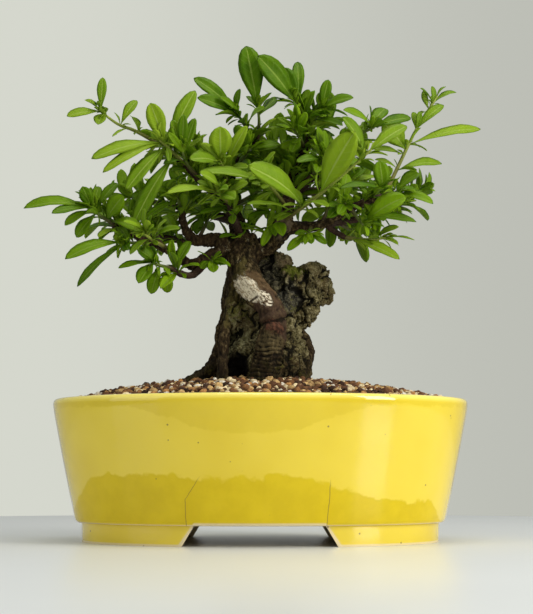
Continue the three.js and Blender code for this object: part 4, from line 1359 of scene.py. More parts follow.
twigs = []
for seed, (name, line) in enumerate(TWIGS.items()):
    twigs.append(mesh_from(name, *tube(line, TWIG_SIDES, TWIG_STEPS, knotted(seed))))
fine_wood = join("twigs", twigs)
print("twig corners:", len(fine_wood.data.vertices))

# %% [markdown]
# ### Its bark
#
# Old firethorn bark is grey-brown and finely cracked, with painted shade in the cracks. Near the ground it
# is darkened by painted shade, and moss greens it. On the front root an old wound has healed to a bare,
# pale patch with dark nicks, which frays out below. Under it the young callus is a warm red-brown. Where a
# limb was once cut off at the fork, the healed end is paler. The places are the soft ellipses from above,
# each one coat.

# %% Bark: fibres and painted shade at the foot
BARK_STOPS = [
    (0.36, (0.005, 0.003, 0.001)),
    (0.47, (0.028, 0.018, 0.007)),
    (0.57, (0.090, 0.062, 0.025)),
    (0.68, (0.24, 0.178, 0.088)),
]
WARM_BROWN = (0.034, 0.018, 0.009)
PAINTED_BARK_FOOT_SHADE = (0.010, 0.006, 0.003)

bark = Finish("cracked_bark")
where = bark.place()
x, y, z = bark.millimetres(where)
relief = bark.attribute("relief")
cloud = bark.noise(where, 15, 3)
patch = bark.noise(where, 5, 3, 0.6)
fine = bark.noise(where, 1.3, 3, 0.6)
upright = bark.node("Mapping", inputs={"Vector": where, "Scale": (1, 1, 0.5)})
fibre = bark.noise(upright, 2.0, 5, 0.68)
colour = bark.layers(
    bark.ramp(fibre, BARK_STOPS),
    (bark.step(cloud, 0.4, 0.65) * 0.5, WARM_BROWN),
    # Painted shade: the bark is darkened towards the ground.
    (bark.step(z + cloud * 16, 152, 120) * 0.62, PAINTED_BARK_FOOT_SHADE),
)


def ellipse(middle, half, turn, rag):
    """1 inside an ellipse on the front of the tree and 0 outside, its edge ragged by noise."""
    reach = reach_of(x, z, middle, half, turn) + wander(patch, rag)
    return bark.step(reach, 1.2, 0.8) * bark.step(y, -12, -16)


bark.tell("with its fibres")

# %% Bark: the healed wound
# Its wood has fine streaks along it, dark nicks, and one split across.
RIM_BARK = [(0.055, 0.030, 0.013), (0.27, 0.17, 0.085)]
BARE_WOOD = [(0.36, 0.27, 0.16), (0.84, 0.75, 0.57)]
NICK = (0.16, 0.105, 0.055)
SPLIT = (0.030, 0.017, 0.008)
SPLIT_PLACE = 8.4

along, across = along_and_across(x, z, (0, 0), WOUND_TURN)
run = bark.node("CombineXYZ", inputs={0: along / 2.4, 1: across, 2: y / 2})
streak = bark.node("TexNoise", inputs={"Vector": run, "Scale": 0.8, "Detail": 4, "Roughness": 0.65})
frayed = bark.step(streak + wander(fine, 0.6), 0.36, 0.52)
wound = ellipse(*WOUND).at_least(ellipse(*WOUND_TAIL) * frayed)
along, across = along_and_across(x, z, WOUND[0], WOUND_TURN)
split = bark.step(abs(along - SPLIT_PLACE - across * 0.25), 1.1, 0.5) * bark.step(across, 1.8, -0.5)
bare_wood = bark.layers(
    bark.mix(bark.step(streak, 0.38, 0.58), *BARE_WOOD),
    (bark.step(fine, 0.43, 0.36) * 0.65, NICK),
    (split * 0.92, SPLIT),
)
colour = bark.layers(
    colour,
    (ellipse(*WOUND_RIM) * 0.7, bark.mix(streak, *RIM_BARK)),
    (wound * 0.97, bare_wood),
)
bark.tell("with its wound")

# %% Bark: young skin, lichen, the cut limb and moss
YOUNG_SKIN = [(0.032, 0.017, 0.011), (0.128, 0.075, 0.050)]
RED_SKIN = [(0.030, 0.010, 0.006), (0.17, 0.064, 0.036)]
CALLUS_SKIN = [(0.030, 0.022, 0.008), (0.24, 0.185, 0.085)]
LICHEN = (0.30, 0.27, 0.17)
CUT_WOOD = [(0.060, 0.042, 0.025), (0.30, 0.23, 0.14)]
DRY_MOSS = [(0.050, 0.042, 0.010), (0.21, 0.17, 0.050)]
DAMP_MOSS = [(0.020, 0.022, 0.002), (0.11, 0.105, 0.010)]
OUTER_LIMBS = [(0.016, 0.007, 0.003), (0.075, 0.040, 0.018)]
PAINTED_CRACK_SHADE = (0.005, 0.0035, 0.0015)

sound = 1 - wound
lichen = bark.step(patch, 0.60, 0.68) * bark.step(fine, 0.50, 0.58) * bark.step(z, 150, 185)
moss = bark.step(z + wander(cloud, 60) + wander(patch, 30), 118, 96) * bark.step(fine, 0.4, 0.6)
outer = bark.step(x, -27, -36) * bark.step(z, 160, 175)
colour = bark.layers(
    colour,
    (ellipse(*SMOOTH_SKIN) * sound * 0.6, bark.mix(fine, *YOUNG_SKIN)),
    (ellipse(*BLUSH) * sound * 0.6, bark.mix(bark.step(streak, 0.4, 0.6), *RED_SKIN)),
    (ellipse(*CALLUS) * 0.45, bark.mix(fine, *CALLUS_SKIN)),
    (lichen * 0.55, LICHEN),
    (ellipse(*CUT_LIMB) * 0.6, bark.mix(streak, *CUT_WOOD)),
    (ellipse(*MOSSY_SIDE) * sound * 0.5, bark.mix(fine, *DRY_MOSS)),
    (moss * 0.55, bark.mix(fine, *DAMP_MOSS)),
    (outer * 0.5, bark.mix(fine, *OUTER_LIMBS)),
    # Painted shade in the cracks, where the relief sinks.
    (bark.step(relief, 0.1, -0.75) * (0.85 - wound * 0.5), PAINTED_CRACK_SHADE),
)
height = fibre * (1 - wound * 0.85) + fine * (0.4 - wound * 0.2) + streak * wound * 0.35
bark.dress(
    [trunk],
    Base_Color=colour,
    Roughness=0.75 + fine * 0.2 - wound * 0.12,
    Specular_IOR_Level=0.11,
    Normal=bark.bump(height, 1.3),
)
hand_over(trunk, "bark", "wood")

# %% Twig bark
TWIG_STOPS = [(0.3, (0.014, 0.009, 0.006)), (0.55, (0.045, 0.028, 0.018)), (0.8, (0.10, 0.070, 0.048))]
TWIG_RED = (0.055, 0.024, 0.015)
PORE_CORK = (0.18, 0.14, 0.10)
PORE_PITCH = 1.9

skin = Finish("twig_bark")
where = skin.place()
fine = skin.noise(where, 1.2, 3, 0.6)
cloud = skin.noise(where, 7, 2)
cells = {"Vector": where, "Scale": 1 / (PORE_PITCH * MM)}
pores = skin.node("TexVoronoi", inputs=cells, output="Distance")
colour = skin.layers(
    skin.ramp(fine, TWIG_STOPS),
    (skin.step(cloud, 0.4, 0.65) * 0.5, TWIG_RED),
    (skin.step(pores, 0.17, 0.09) * 0.6, PORE_CORK),
)
skin.dress(
    [fine_wood],
    Base_Color=colour,
    Roughness=0.7,
    Specular_IOR_Level=0.1,
    Normal=skin.bump(fine, 0.5),
)
hand_over(fine_wood, "bark")

# %% [markdown]
# ## Leaves and shoots
#
# Firethorn leaves are leathery, narrow at the foot and widest past the middle, folded a little along a
# pale rib. One leaf is modelled once: a grid drawn in row by row to the leaf's outline, then doubled and
# puffed by a hair, so that it is a closed thin blade. Every other leaf is a copy of it, bent to its own
# foot, tip, width, fold and arch. The table says for each shoot its kind, how many leaves a rule sets and
# their length, the green stem's points, and the leaves given one by one after the photo, each as
# [share of the stem, tip x, y, z, width, face].

# %% The plan of the shoots
SPRAYS = {
    "far_left_shoot": ["young", 2, 12, [
        [-66, -19, 266], [-84, -26, 275], [-96, -30, 279], [-110, -34, 289],
    ], [
        [1, -129, -40, 282, 9, 60], [0.98, -106, -34, 310, 7, 80], [0.9, -108, -41, 276, 9, 70],
        [0.62, -84, -23, 297, 8, 60], [0.45, -99, -36, 269, 3, 40], [0.3, -86, -44, 281, 8, 50],
    ]],
    "upper_left": ["young", 3, 24, [[-52, -22, 254], [-59, -30, 260], [-67, -38, 266]], [
        [0.8, -73, -44, 290, 14, 80], [0.7, -44, -30, 302, 12, 70], [1, -111, -50, 251, 13, 55],
        [0.9, -103, -54, 241, 9, 60], [0.75, -88, -50, 230, 12, 65], [0.4, -84, -40, 209, 12, 75],
    ]],
    "left_bud": ["mature", 2, 18, [[-44, -18, 247], [-50, -28, 253], [-53, -33, 262]], [
        [1, -59, -38, 280, 8, 80], [0.9, -51, -36, 282, 8, 90], [0.8, -61, -44, 270, 6, 80],
        [0.7, -44, -30, 283, 8, 70],
    ]],
    "left_end": ["mature", 2, 22, [[-97, -30, 210], [-107, -36, 216], [-113, -40, 221]], [
        [1, -156, -44, 219, 13, 50], [0.9, -136, -54, 214, 9, 45], [0.8, -129, -42, 208, 9, 50],
        [0.6, -122, -36, 201, 10, 60], [0.9, -117, -48, 233, 10, 80], [0.8, -108, -32, 236, 8, 80],
        [0.7, -96, -28, 239, 8, 70], [0.3, -90, -47, 227, 13, 80], [0.2, -78, -52, 202, 12, 50],
    ]],
    "left_low": ["mature", 2, 24, [[-78, -29, 198], [-84, -38, 197], [-90, -46, 196]], [
        [1, -126, -60, 183, 13, 50], [0.8, -121, -36, 168, 7, 60], [0.6, -104, -36, 185, 9, 40],
    ]],
    "lower_left": ["mature", 2, 20, [[-60, -33, 181], [-66, -37, 182], [-71, -41, 183]], [
        [1, -93, -46, 179, 7, 40], [0.9, -79, -54, 168, 11, 60], [0.5, -72, -38, 163, 10, 65],
        [0.2, -62, -28, 165, 9, 70], [0.7, -81, -47, 192, 11, 60],
    ]],
    "left_mid": ["young", 4, 20, [[-65, -30, 196], [-71, -46, 198], [-75, -56, 200]], [
        [0.9, -88, -68, 206, 9, 45], [0.5, -52, -60, 203, 9, 50],
    ]],
    "under_left": ["mature", 1, 12, [[-34, -17, 188], [-33, -23, 187], [-32, -27, 186]], [
        [0.9, -31, -32, 178, 8, 80], [0.6, -22, -30, 184, 7, 70], [0.6, -40, -30, 181, 7, 70],
    ]],
    "left_inner": ["mature", 3, 20, [[-53, -10, 222], [-55, -18, 227], [-57, -22, 232]], [
        [1, -76, -28, 236, 9, 45], [0.7, -77, -32, 214, 7, 60],
    ]],
    "front_left": ["young", 4, 24, [[-22, -24, 227], [-25, -40, 228], [-29, -52, 228]], [
        [1, -60, -70, 224, 10, 40], [0.6, -39, -68, 238, 12, 60],
    ]],
    "mid_left": ["young", 3, 24, [[-23, 2, 245], [-25, -16, 250], [-27, -28, 254]], [
        [1, -27, -36, 276, 17, 85], [0.8, -47, -44, 252, 12, 65], [0.5, -9, -30, 278, 9, 80],
    ]],
    "top_left": ["mature", 3, 24, [[-5, 4, 276], [-12, -4, 286], [-17, -8, 293]], [
        [1, -46, -10, 316, 12, 65], [0.8, -43, -22, 299, 12, 65], [0.3, 3, -26, 291, 10, 60],
        [0.6, -28, -20, 300, 9, 50],
    ]],
    "top_tall": ["mature", 1, 22, [[-2, 2, 277], [-1, -2, 287], [-2, -7, 296]], [
        [1, -10, -12, 338, 18, 85], [0.7, 11, 8, 306, 8, 70],
    ]],
    "top_apex": ["mature", 2, 22, [[30, 6, 292], [27, 2, 297], [24, -3, 300]], [
        [1, -2, -20, 329, 18, 75], [0.8, 16, -4, 325, 13, 75], [0.6, 26, 10, 333, 10, 80],
    ]],
    "top_right": ["mature", 4, 22, [[32, 7, 287], [37, 4, 292], [43, 1, 297]], [
        [1, 47, -2, 317, 9, 80], [0.8, 64, -10, 302, 11, 55], [0.3, 56, -16, 281, 9, 45],
    ]],
    "right_top": ["mature", 3, 22, [[56, -6, 270], [68, -8, 277], [78, -11, 281]], [
        [1, 56, -24, 290, 11, 50], [0.8, 87, 4, 298, 11, 60], [0.9, 104, -2, 290, 10, 60],
    ]],
    "front_shoot": ["young", 2, 16, [[17, -19, 216], [34, -40, 225], [55, -56, 240], [72, -65, 254]], [
        [0.42, 61, -74, 264, 20, 75], [0.24, -8, -66, 243, 19, 65], [0.14, -9, -54, 220, 9, 40],
        [0.2, 44, -66, 216, 9, 40], [1, 96, -68, 268, 12, 60], [0.95, 53, -72, 274, 11, 45],
    ]],
    "right_shoot": ["young", 3, 14, [
        [85, -8, 235], [95, 2, 256], [105, 10, 277], [113, 14, 292], [125, 18, 310],
    ], [
        [0.45, 156, 24, 288, 10, 55], [0.22, 127, 14, 261, 10, 55], [0.4, 85, 0, 287, 18, 80],
        [0.62, 129, 24, 301, 9, 60], [1, 139, 22, 314, 7, 40], [0.98, 112, 10, 314, 6, 30],
        [0.36, 77, 2, 269, 7, 50], [0.24, 79, 0, 261, 6, 45],
    ]],
    "right_end": ["mature", 3, 22, [[78, -26, 228], [86, -32, 231], [91, -36, 231]], [
        [1, 114, -44, 222, 10, 45], [0.3, 80, -30, 254, 12, 80], [0.5, 52, -50, 231, 9, 40],
    ]],
    "right_big": ["mature", 1, 20, [[61, -27, 221], [65, -34, 214], [68, -38, 209]], [
        [1, 96, -48, 226, 17, 60], [0.6, 104, -32, 212, 9, 50],
    ]],
    "right_low": ["young", 2, 18, [[58, -22, 203], [71, -26, 201], [84, -28, 202]], [
        [0.1, 92, -38, 186, 10, 50], [1, 103, -30, 200, 4, 30], [0.3, 70, -42, 210, 9, 60],
        [0.7, 92, -36, 208, 7, 50],
    ]],
    "under_right": ["mature", 1, 12, [[34, -19, 210], [33, -24, 207], [32, -27, 205]], [
        [1, 18, -30, 193, 7, 75], [0.7, 34, -33, 197, 6, 80], [0.6, 44, -32, 197, 6, 75],
    ]],
    "centre_high": ["mature", 6, 28, [[-19, 6, 254], [-12, -4, 260], [-7, -12, 266]], [
        [0.8, -36, -38, 246, 9, 40],
    ]],
    "centre_front": ["young", 5, 26, [[16, -12, 228], [8, -26, 236], [1, -34, 243]], [
        [0.55, -39, -60, 239, 13, 50],
    ]],
    "centre_right": ["mature", 6, 28, [[33, -10, 244], [39, -24, 250], [43, -34, 256]], [
        [0.9, 24, -44, 250, 8, 60],
    ]],
    "centre_middle": ["mature", 6, 28, [[-18, 1, 229], [-7, -7, 234], [2, -11, 239]], []],
    "centre_deep": ["mature", 6, 28, [[18, -1, 237], [7, 3, 247], [-1, 5, 256]], []],
    "right_inner": ["mature", 6, 26, [[43, -17, 217], [47, -12, 227], [50, -8, 236]], []],
    "right_front": ["mature", 4, 26, [[50, -24, 218], [53, -36, 221], [56, -46, 222]], []],
    "right_upper": ["mature", 5, 28, [[47, -4, 260], [56, 10, 263], [64, 18, 267]], []],
    "apex_back": ["mature", 5, 28, [[34, 10, 278], [40, 22, 285], [44, 30, 290]], []],
    "apex_left": ["mature", 5, 28, [[24, 12, 263], [13, 22, 271], [5, 28, 279]], []],
    "apex_front": ["mature", 5, 26, [[30, 3, 270], [27, -10, 274], [22, -20, 278]], []],
    "left_limb_back": ["mature", 5, 28, [[-24, 10, 246], [-36, 22, 255], [-45, 28, 261]], []],
    "left_limb_side": ["mature", 5, 28, [[-24, 6, 252], [-38, 2, 263], [-46, 0, 272]], []],
    "back_left_end": ["mature", 5, 29, [[-74, 50, 240], [-88, 57, 243], [-98, 60, 247]], []],
    "back_left_mid": ["mature", 4, 28, [[-47, 34, 233], [-50, 46, 243], [-52, 54, 250]], []],
    "back_end": ["mature", 5, 28, [[0, 62, 256], [-4, 69, 260], [-8, 73, 265]], []],
    "back_mid": ["mature", 4, 28, [[7, 37, 249], [14, 44, 261], [19, 48, 271]], []],
    "back_mid_low": ["mature", 4, 28, [[4, 44, 247], [-12, 54, 240], [-22, 61, 238]], []],
    "back_right_end": ["mature", 5, 29, [[64, 44, 250], [77, 53, 253], [87, 58, 257]], []],
    "back_right_mid": ["mature", 4, 28, [[51, 36, 249], [51, 42, 261], [54, 45, 271]], []],
    "back_right_low": ["mature", 5, 28, [[48, 36, 244], [50, 50, 235], [54, 58, 231]], []],
    "low_left_end": ["mature", 5, 28, [[-90, 26, 217], [-105, 27, 223], [-116, 27, 229]], []],
    "low_left_back": ["mature", 4, 26, [[-58, 25, 209], [-64, 40, 210], [-70, 50, 211]], []],
    "low_left_up": ["mature", 5, 26, [[-74, 24, 214], [-77, 16, 225], [-77, 12, 234]], []],
    "low_right_end": ["mature", 5, 28, [[90, 20, 229], [103, 21, 236], [113, 21, 242]], []],
    "low_right_back": ["mature", 4, 26, [[55, 21, 220], [64, 37, 218], [71, 47, 218]], []],
    "low_right_front": ["mature", 5, 26, [[77, 20, 226], [89, 8, 228], [96, 0, 229]], []],
    "left_branch_top": ["mature", 5, 26, [[-41, -8, 207], [-37, 0, 217], [-35, 4, 225]], []],
    "left_long_top": ["mature", 5, 24, [[-67, -24, 199], [-72, -13, 210], [-74, -8, 218]], []],
}
print("shoots:", len(SPRAYS))

# %% [markdown]
# ### One leaf by hand
#
# A flat grid is the leaf's upper skin. Its rows are spaced so that they lie closer at the foot and at the
# tip, each is drawn in to the leaf's width there, and the middle of each half is puffed up beside the
# rib. The lower skin is a copy of it, turned over. Where the two meet, their corners are merged.

# %% Outline of a leaf
ROW_SHARES = [0, 0.09, 0.20, 0.33, 0.47, 0.61, 0.74, 0.86, 0.95, 1]
LEAF_ROWS = len(ROW_SHARES) - 1
LEAF_COLUMNS = 4
LEAF_PUFF = 0.17
RIB_PUFF = 0.35
UNDER_PUFF = 1.4
WIDEST = 0.63
STALK_WIDTH = 0.06
SAME_PLACE = 0.01


def leaf_width(share):
    """Half width at a share of the length: a slim stalk, widest past the middle, a round tip."""
    swell = math.sin(math.pi * min(share, 1) ** 1.5)
    blunt = 0.9 if share < WIDEST else 0.52
    return max(STALK_WIDTH, max(swell, 0) ** blunt)


def between_ends(co):
    return SAME_PLACE < co.x < 1 - SAME_PLACE


print("widths along a leaf:", [round(leaf_width(share), 2) for share in ROW_SHARES])

# %% Shaping the leaf
bpy.ops.mesh.primitive_grid_add(x_subdivisions=LEAF_ROWS, y_subdivisions=LEAF_COLUMNS, size=2)
bpy.ops.object.mode_set(mode="EDIT")
bpy.ops.transform.translate(value=(1, 0, 0))
bpy.ops.transform.resize(value=(0.5, 1, 1), center_override=(0, 0, 0))
for k, share in reversed(list(enumerate(ROW_SHARES))):
    even = k / LEAF_ROWS
    select_vertices(lambda co: abs(co.x - even) < SAME_PLACE)
    bpy.ops.transform.resize(value=(1, leaf_width(share), 1), center_override=(even, 0, 0))
    bpy.ops.transform.translate(value=(share - even, 0, 0))
select_vertices(lambda co: between_ends(co) and SAME_PLACE < abs(co.y) < 0.6 * leaf_width(co.x))
bpy.ops.transform.translate(value=(0, 0, LEAF_PUFF))
select_vertices(lambda co: between_ends(co) and abs(co.y) < SAME_PLACE and co.z < LEAF_PUFF / 2)
bpy.ops.transform.translate(value=(0, 0, LEAF_PUFF * RIB_PUFF))
bpy.ops.mesh.select_all(action="SELECT")
bpy.ops.mesh.duplicate()
bpy.ops.mesh.flip_normals()
bpy.ops.transform.resize(value=(1, 1, -UNDER_PUFF), center_override=(0, 0, 0))
bpy.ops.mesh.select_all(action="SELECT")
bpy.ops.mesh.remove_doubles(threshold=0.0015)
bpy.ops.mesh.normals_make_consistent(inside=False)
leaf = done_editing()
print("leaf corners:", len(leaf.data.vertices), "faces:", len(leaf.data.polygons))

# %% The leaf as a sheet of numbers
# Its corners, which of them are underneath, its faces, and its map: the share of the length, and the
# place across from edge to edge.
SHEET = np.array([vertex.co for vertex in leaf.data.vertices])
SHEET_UNDER = (SHEET[:, 2] < -0.001).astype(float)
LEAF_FACES = [list(face.vertices) for face in leaf.data.polygons]
LEAF_UV = []
for face in LEAF_FACES:
    for corner in face:
        share, across, _ = SHEET[corner]
        LEAF_UV.append((share, 0.5 + 0.5 * across / leaf_width(min(max(share, 0), 0.999))))
LEAF_UV = np.clip(np.array(LEAF_UV), 0, 1)
bpy.data.objects.remove(leaf)
print("map of a leaf, corners:", len(LEAF_UV))

# %% [markdown]
# ### Where a leaf stands
#
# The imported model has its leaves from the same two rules: some by the table, and some set round the stem
# at the golden angle, so that none shades the next. It turned or moved some leaves so that they clear
# each other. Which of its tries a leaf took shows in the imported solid: the leaf's tip is one of its
# corners. So each leaf here takes the try whose tip is there, and the fine leaf lies just where the plain
# one is.

# %% A leaf's pose, and the stem it stands on
STEM_SET = 2.6


def blade(foot, tip, facing, width, arch, fold):
    """A leaf's pose, from its foot, its tip and the direction that its upper face turns to."""
    along = tip - foot
    length = float(np.linalg.norm(along))
    along = along / length
    up = unit(facing - along * float(facing @ along))
    return {"foot": foot, "tip": tip, "along": along, "up": up, "side": np.cross(along, up),
            "length": length, "width": width, "arch": arch, "fold": fold}


def set_back(route):
    """A stem's points with its foot moved back along its first stretch, into the limb."""
    points = np.array(route, float)
    points[0] += STEM_SET * unit(points[0] - points[1])
    return points


def direction_at(points, share):
    """The direction in which a smooth curve runs at a share of it."""
    return unit(curve_point(points, share + 0.01) - curve_point(points, share - 0.01))


# %% Two rules for a leaf's place
LAST_FOOT = 0.93
NUDGE = 4
GOLDEN_ANGLE = 137.5
TRY_TURN = 47


def hand_leaf(points, row, seed, attempt):
    """A leaf from the table. Later tries have their tip nearer or further."""
    share, x, y, z, width, face = row
    shift = math.ceil(attempt / 2) * (NUDGE if attempt % 2 else -NUDGE)
    tip = np.array([x, y + shift, z + 0.3 * abs(shift)])
    face = math.radians(face)
    facing = np.array([0, -math.sin(face), math.cos(face)])
    arch = between(0.05, 0.11, seed, 1)
    fold = math.radians(between(14, 28, seed, 2))
    return blade(curve_point(points, min(share, LAST_FOOT)), tip, facing, width, arch, fold)


def ruled_leaf(points, length, index, count, seed, attempt):
    """A leaf set round the stem at the golden angle. Later tries are turned on and shorter."""
    share = 0.34 + 0.64 * (index + 0.5) / count
    foot = curve_point(points, share)
    stem = direction_at(points, share)
    level = unit(np.array([-stem[1], stem[0], 0]))
    raised = np.cross(stem, level)
    angle = math.radians(index * GOLDEN_ANGLE + 360 * chance(seed, 3) + attempt * TRY_TURN)
    outward = level * math.cos(angle) + raised * math.sin(angle)
    opening = math.radians(74 - 44 * share + wander(chance(seed, 4), 16) + 3 * attempt)
    along = unit(stem * math.cos(opening) + outward * math.sin(opening) + np.array([0, 0, 0.12]))
    size = length * between(0.78, 1.20, seed, 5) * (1 - 0.035 * attempt)
    facing = unit(np.array([foot[0], 1.5 * foot[1], 0])) * 0.75 + stem * 0.4
    facing = facing + np.array([wander(chance(seed, 6), 0.8), wander(chance(seed, 7), 0.8), 0.8])
    width = size * between(0.36, 0.46, seed, 8)
    arch = between(0.04, 0.12, seed, 9)
    fold = math.radians(between(12, 28, seed, 10))
    return blade(foot, foot + along * size, facing, width, arch, fold)


# %% Leaves of each shoot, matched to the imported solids
TRIES = 14
TIP_NEAR = 0.06
SEEDS_A_SHOOT = 1000
FIRST_RULED_SEED = 500
FEWEST_OF_INNER = 4


def packed_corners(node):
    return np.array([vertex.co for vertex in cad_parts[node].data.vertices], float) / MM


def settle(corners, pose_at):
    """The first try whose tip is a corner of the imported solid, or none."""
    for attempt in range(TRIES):
        pose = pose_at(attempt)
        if np.min(np.linalg.norm(corners - pose["tip"], axis=1)) < TIP_NEAR:
            return pose
    return None


shoots = {}
lost = 0
for row, (name, (kind, count, length, route, by_hand)) in enumerate(SPRAYS.items()):
    corners = packed_corners("spray_" + name)
    points = set_back(route)
    poses = []
    for k, leaf_row in enumerate(by_hand):
        seed = SEEDS_A_SHOOT * (row + 1) + k
        poses.append(settle(corners, lambda attempt: hand_leaf(points, leaf_row, seed, attempt)))
    for k in range(count):
        seed = SEEDS_A_SHOOT * (row + 1) + FIRST_RULED_SEED + k
        poses.append(settle(corners, lambda attempt: ruled_leaf(points, length, k, count, seed, attempt)))
    lost += poses.count(None)
    filling_length = length if count >= FEWEST_OF_INNER else 0
    shoots[name] = (kind, points, filling_length, [pose for pose in poses if pose is not None])
print("leaves:", sum(len(poses) for *_, poses in shoots.values()), "not found:", lost)

# %% [markdown]
# ### Small leaves
#
# A real shoot ends in a bud that opens, has a side leaf or two in the axils of its larger leaves, and is
# hung with half-grown leaves where it stands inside the crown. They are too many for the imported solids,
# and without them one would see right through the crown.

# %% Small leaves of a shoot
BUD_LEAVES = 6
BUD_FRESH = 0.85
AXIL_LONGEST = 15
AXIL_FRESH = 0.3
TWO_IN_AXIL_FROM = 17
FILLING_LEAVES = 8
FILLING_SIZE = 0.62
FILLING_SEED = 7000


def near_leaf(foot, ahead, size, spread, *keys):
    """A small leaf that leaves its foot roughly ahead, opened by spread and tipped upwards."""
    sideways = unit(np.cross(ahead, np.array([0.2, 0.1, 1.0])))
    raised = np.cross(sideways, ahead)
    angle = 2 * math.pi * chance(*keys, 31)
    outward = sideways * math.cos(angle) + raised * math.sin(angle)
    opening = math.radians(spread * between(0.6, 1.2, *keys, 32))
    along = unit(ahead * math.cos(opening) + outward * math.sin(opening) + np.array([0, 0, 0.2]))
    facing = np.array([wander(chance(*keys, 33), 0.7), wander(chance(*keys, 34), 0.7) - 0.25, 0.9])
    width = size * between(0.34, 0.46, *keys, 35)
    fold = math.radians(between(16, 38, *keys, 36))
    return blade(foot, foot + along * size, facing, width, between(0.03, 0.13, *keys, 37), fold)


def small_leaves(points, poses, row):
    """Buds opening at the stem's end, and a side leaf or two in the axils of the larger leaves."""
    found = []
    end_way = unit(points[-1] - points[-2])
    for k in range(BUD_LEAVES):
        size = between(7, 14, row, k, 41)
        foot = curve_point(points, 0.985 - 0.03 * k)
        found.append((near_leaf(foot, end_way, size, 20 + 12 * k, row, k), BUD_FRESH))
    for k, pose in enumerate(poses):
        for n in range(2 if pose["length"] > TWO_IN_AXIL_FROM else 1):
            size = min(AXIL_LONGEST, pose["length"] * between(0.30, 0.52, row, k, n, 42))
            found.append((near_leaf(pose["foot"], pose["along"], size, 50, row, k, n), AXIL_FRESH))
    return found


def filling_leaves(points, length, row):
    """Half-grown leaves all along a shoot of the inner crown, round the stem at the golden angle."""
    found = []
    for k in range(FILLING_LEAVES):
        seed = FILLING_SEED + 50 * row + k
        pose = ruled_leaf(points, FILLING_SIZE * length, k, FILLING_LEAVES, seed, 1)
        found.append((pose, between(0.35, 0.65, row, k, 43)))
    return found


# %% A leaf bent to its pose, and its tone
# Above this height the leaves get painted shade: their tone is pulled towards the deepest green.
TOP_SHADE_FROM = 295
TOP_SHADE_RANGE = 25
PUFFED_FROM = 22
WAVES = 2.2
WAVE_HEIGHT = 0.010
MOST_TWIST = 14


def lay_leaf(pose, *keys):
    """The leaf's corners, bent to a pose, with a slight twist and a wave along its edge."""
    share, half, lift = SHEET[:, 0], SHEET[:, 1], SHEET[:, 2] * min(1, pose["length"] / PUFFED_FROM)
    spread = half * pose["width"] / 2
    rise = pose["arch"] * pose["length"] * np.sin(math.pi * share)
    cup = np.abs(spread) * math.sin(pose["fold"]) * (1.06 - 0.22 * np.abs(half))
    phase = 2 * math.pi * chance(*keys, 51)
    ripple = np.sin(2 * math.pi * WAVES * share + phase + 1.3 * np.sign(half))
    wave = WAVE_HEIGHT * pose["length"] * ripple * half**2
    twist = math.radians(wander(chance(*keys, 52), MOST_TWIST)) * share
    across = spread * math.cos(pose["fold"])
    height = rise + cup + wave + lift
    turned_across = across * np.cos(twist) - (cup + lift) * np.sin(twist)
    turned_height = height + across * np.sin(twist)
    return (
        pose["foot"]
        + np.outer(share * pose["length"], pose["along"])
        + np.outer(turned_across, pose["side"])
        + np.outer(turned_height, pose["up"])
    )


def leaf_tone(pose, fresh, *keys):
    """0 for the deepest green and 1 for the freshest. At the very top, leaves get painted shade and are deep.
    """
    painted_top_shade = min(1, max(0, (pose["tip"][2] - TOP_SHADE_FROM) / TOP_SHADE_RANGE))
    return (0.55 * fresh + 0.45 * chance(*keys, 53)) * (1 - 0.8 * painted_top_shade)


# %% From poses to a shoot's mesh
def shoot_mesh(name, leaves, stem=None):
    """One object from leaves, as (pose, freshness) pairs, and a stem as corners and faces."""
    corners, faces, tones = [], [], []
    for k, (pose, fresh) in enumerate(leaves):
        corners.append(lay_leaf(pose, len(name), k))
        faces += [[c + k * len(SHEET) for c in face] for face in LEAF_FACES]
        tones.append(np.full(len(SHEET), leaf_tone(pose, fresh, len(name), k)))
    leaf_faces = len(faces)
    under = np.tile(SHEET_UNDER, len(leaves))
    if stem:
        stem_corners, stem_faces = stem
        corners.append(stem_corners)
        faces += [[c + len(leaves) * len(SHEET) for c in face] for face in stem_faces]
        tones.append(np.linspace(0, 1, len(stem_corners)))
        under = np.append(under, np.zeros(len(stem_corners)))
    piece = mesh_from(name, np.concatenate(corners), faces)
    mesh = piece.data
    uvs = np.zeros((len(mesh.loops), 2))
    uvs[: len(leaves) * len(LEAF_UV)] = np.tile(LEAF_UV, (len(leaves), 1))
    mesh.uv_layers.new(name="leaf").data.foreach_set("uv", uvs.ravel())
    set_values(mesh, "tone", "FLOAT", np.concatenate(tones))
    set_values(mesh, "under", "FLOAT", under)
    slots = np.zeros(len(mesh.polygons), np.int32)
    slots[leaf_faces:] = 1
    mesh.polygons.foreach_set("material_index", slots)
    return piece


# %% [markdown]
# ### Leaf colours
#
# A mature leaf is deep green and faintly glossy above, paler and duller below. A young one is a fresh
# yellow-green. Both have a pale rib and fine side veins, drawn on the leaf's own map, and let some light
# through: that is a Translucent shader mixed in. Each leaf has its own tone, kept as an attribute.

# %% A finish for leaves
LEAF_SHEEN = (0.80, 1.0, 0.30)
LIGHT_THROUGH = 0.24
SIDE_VEINS = 9


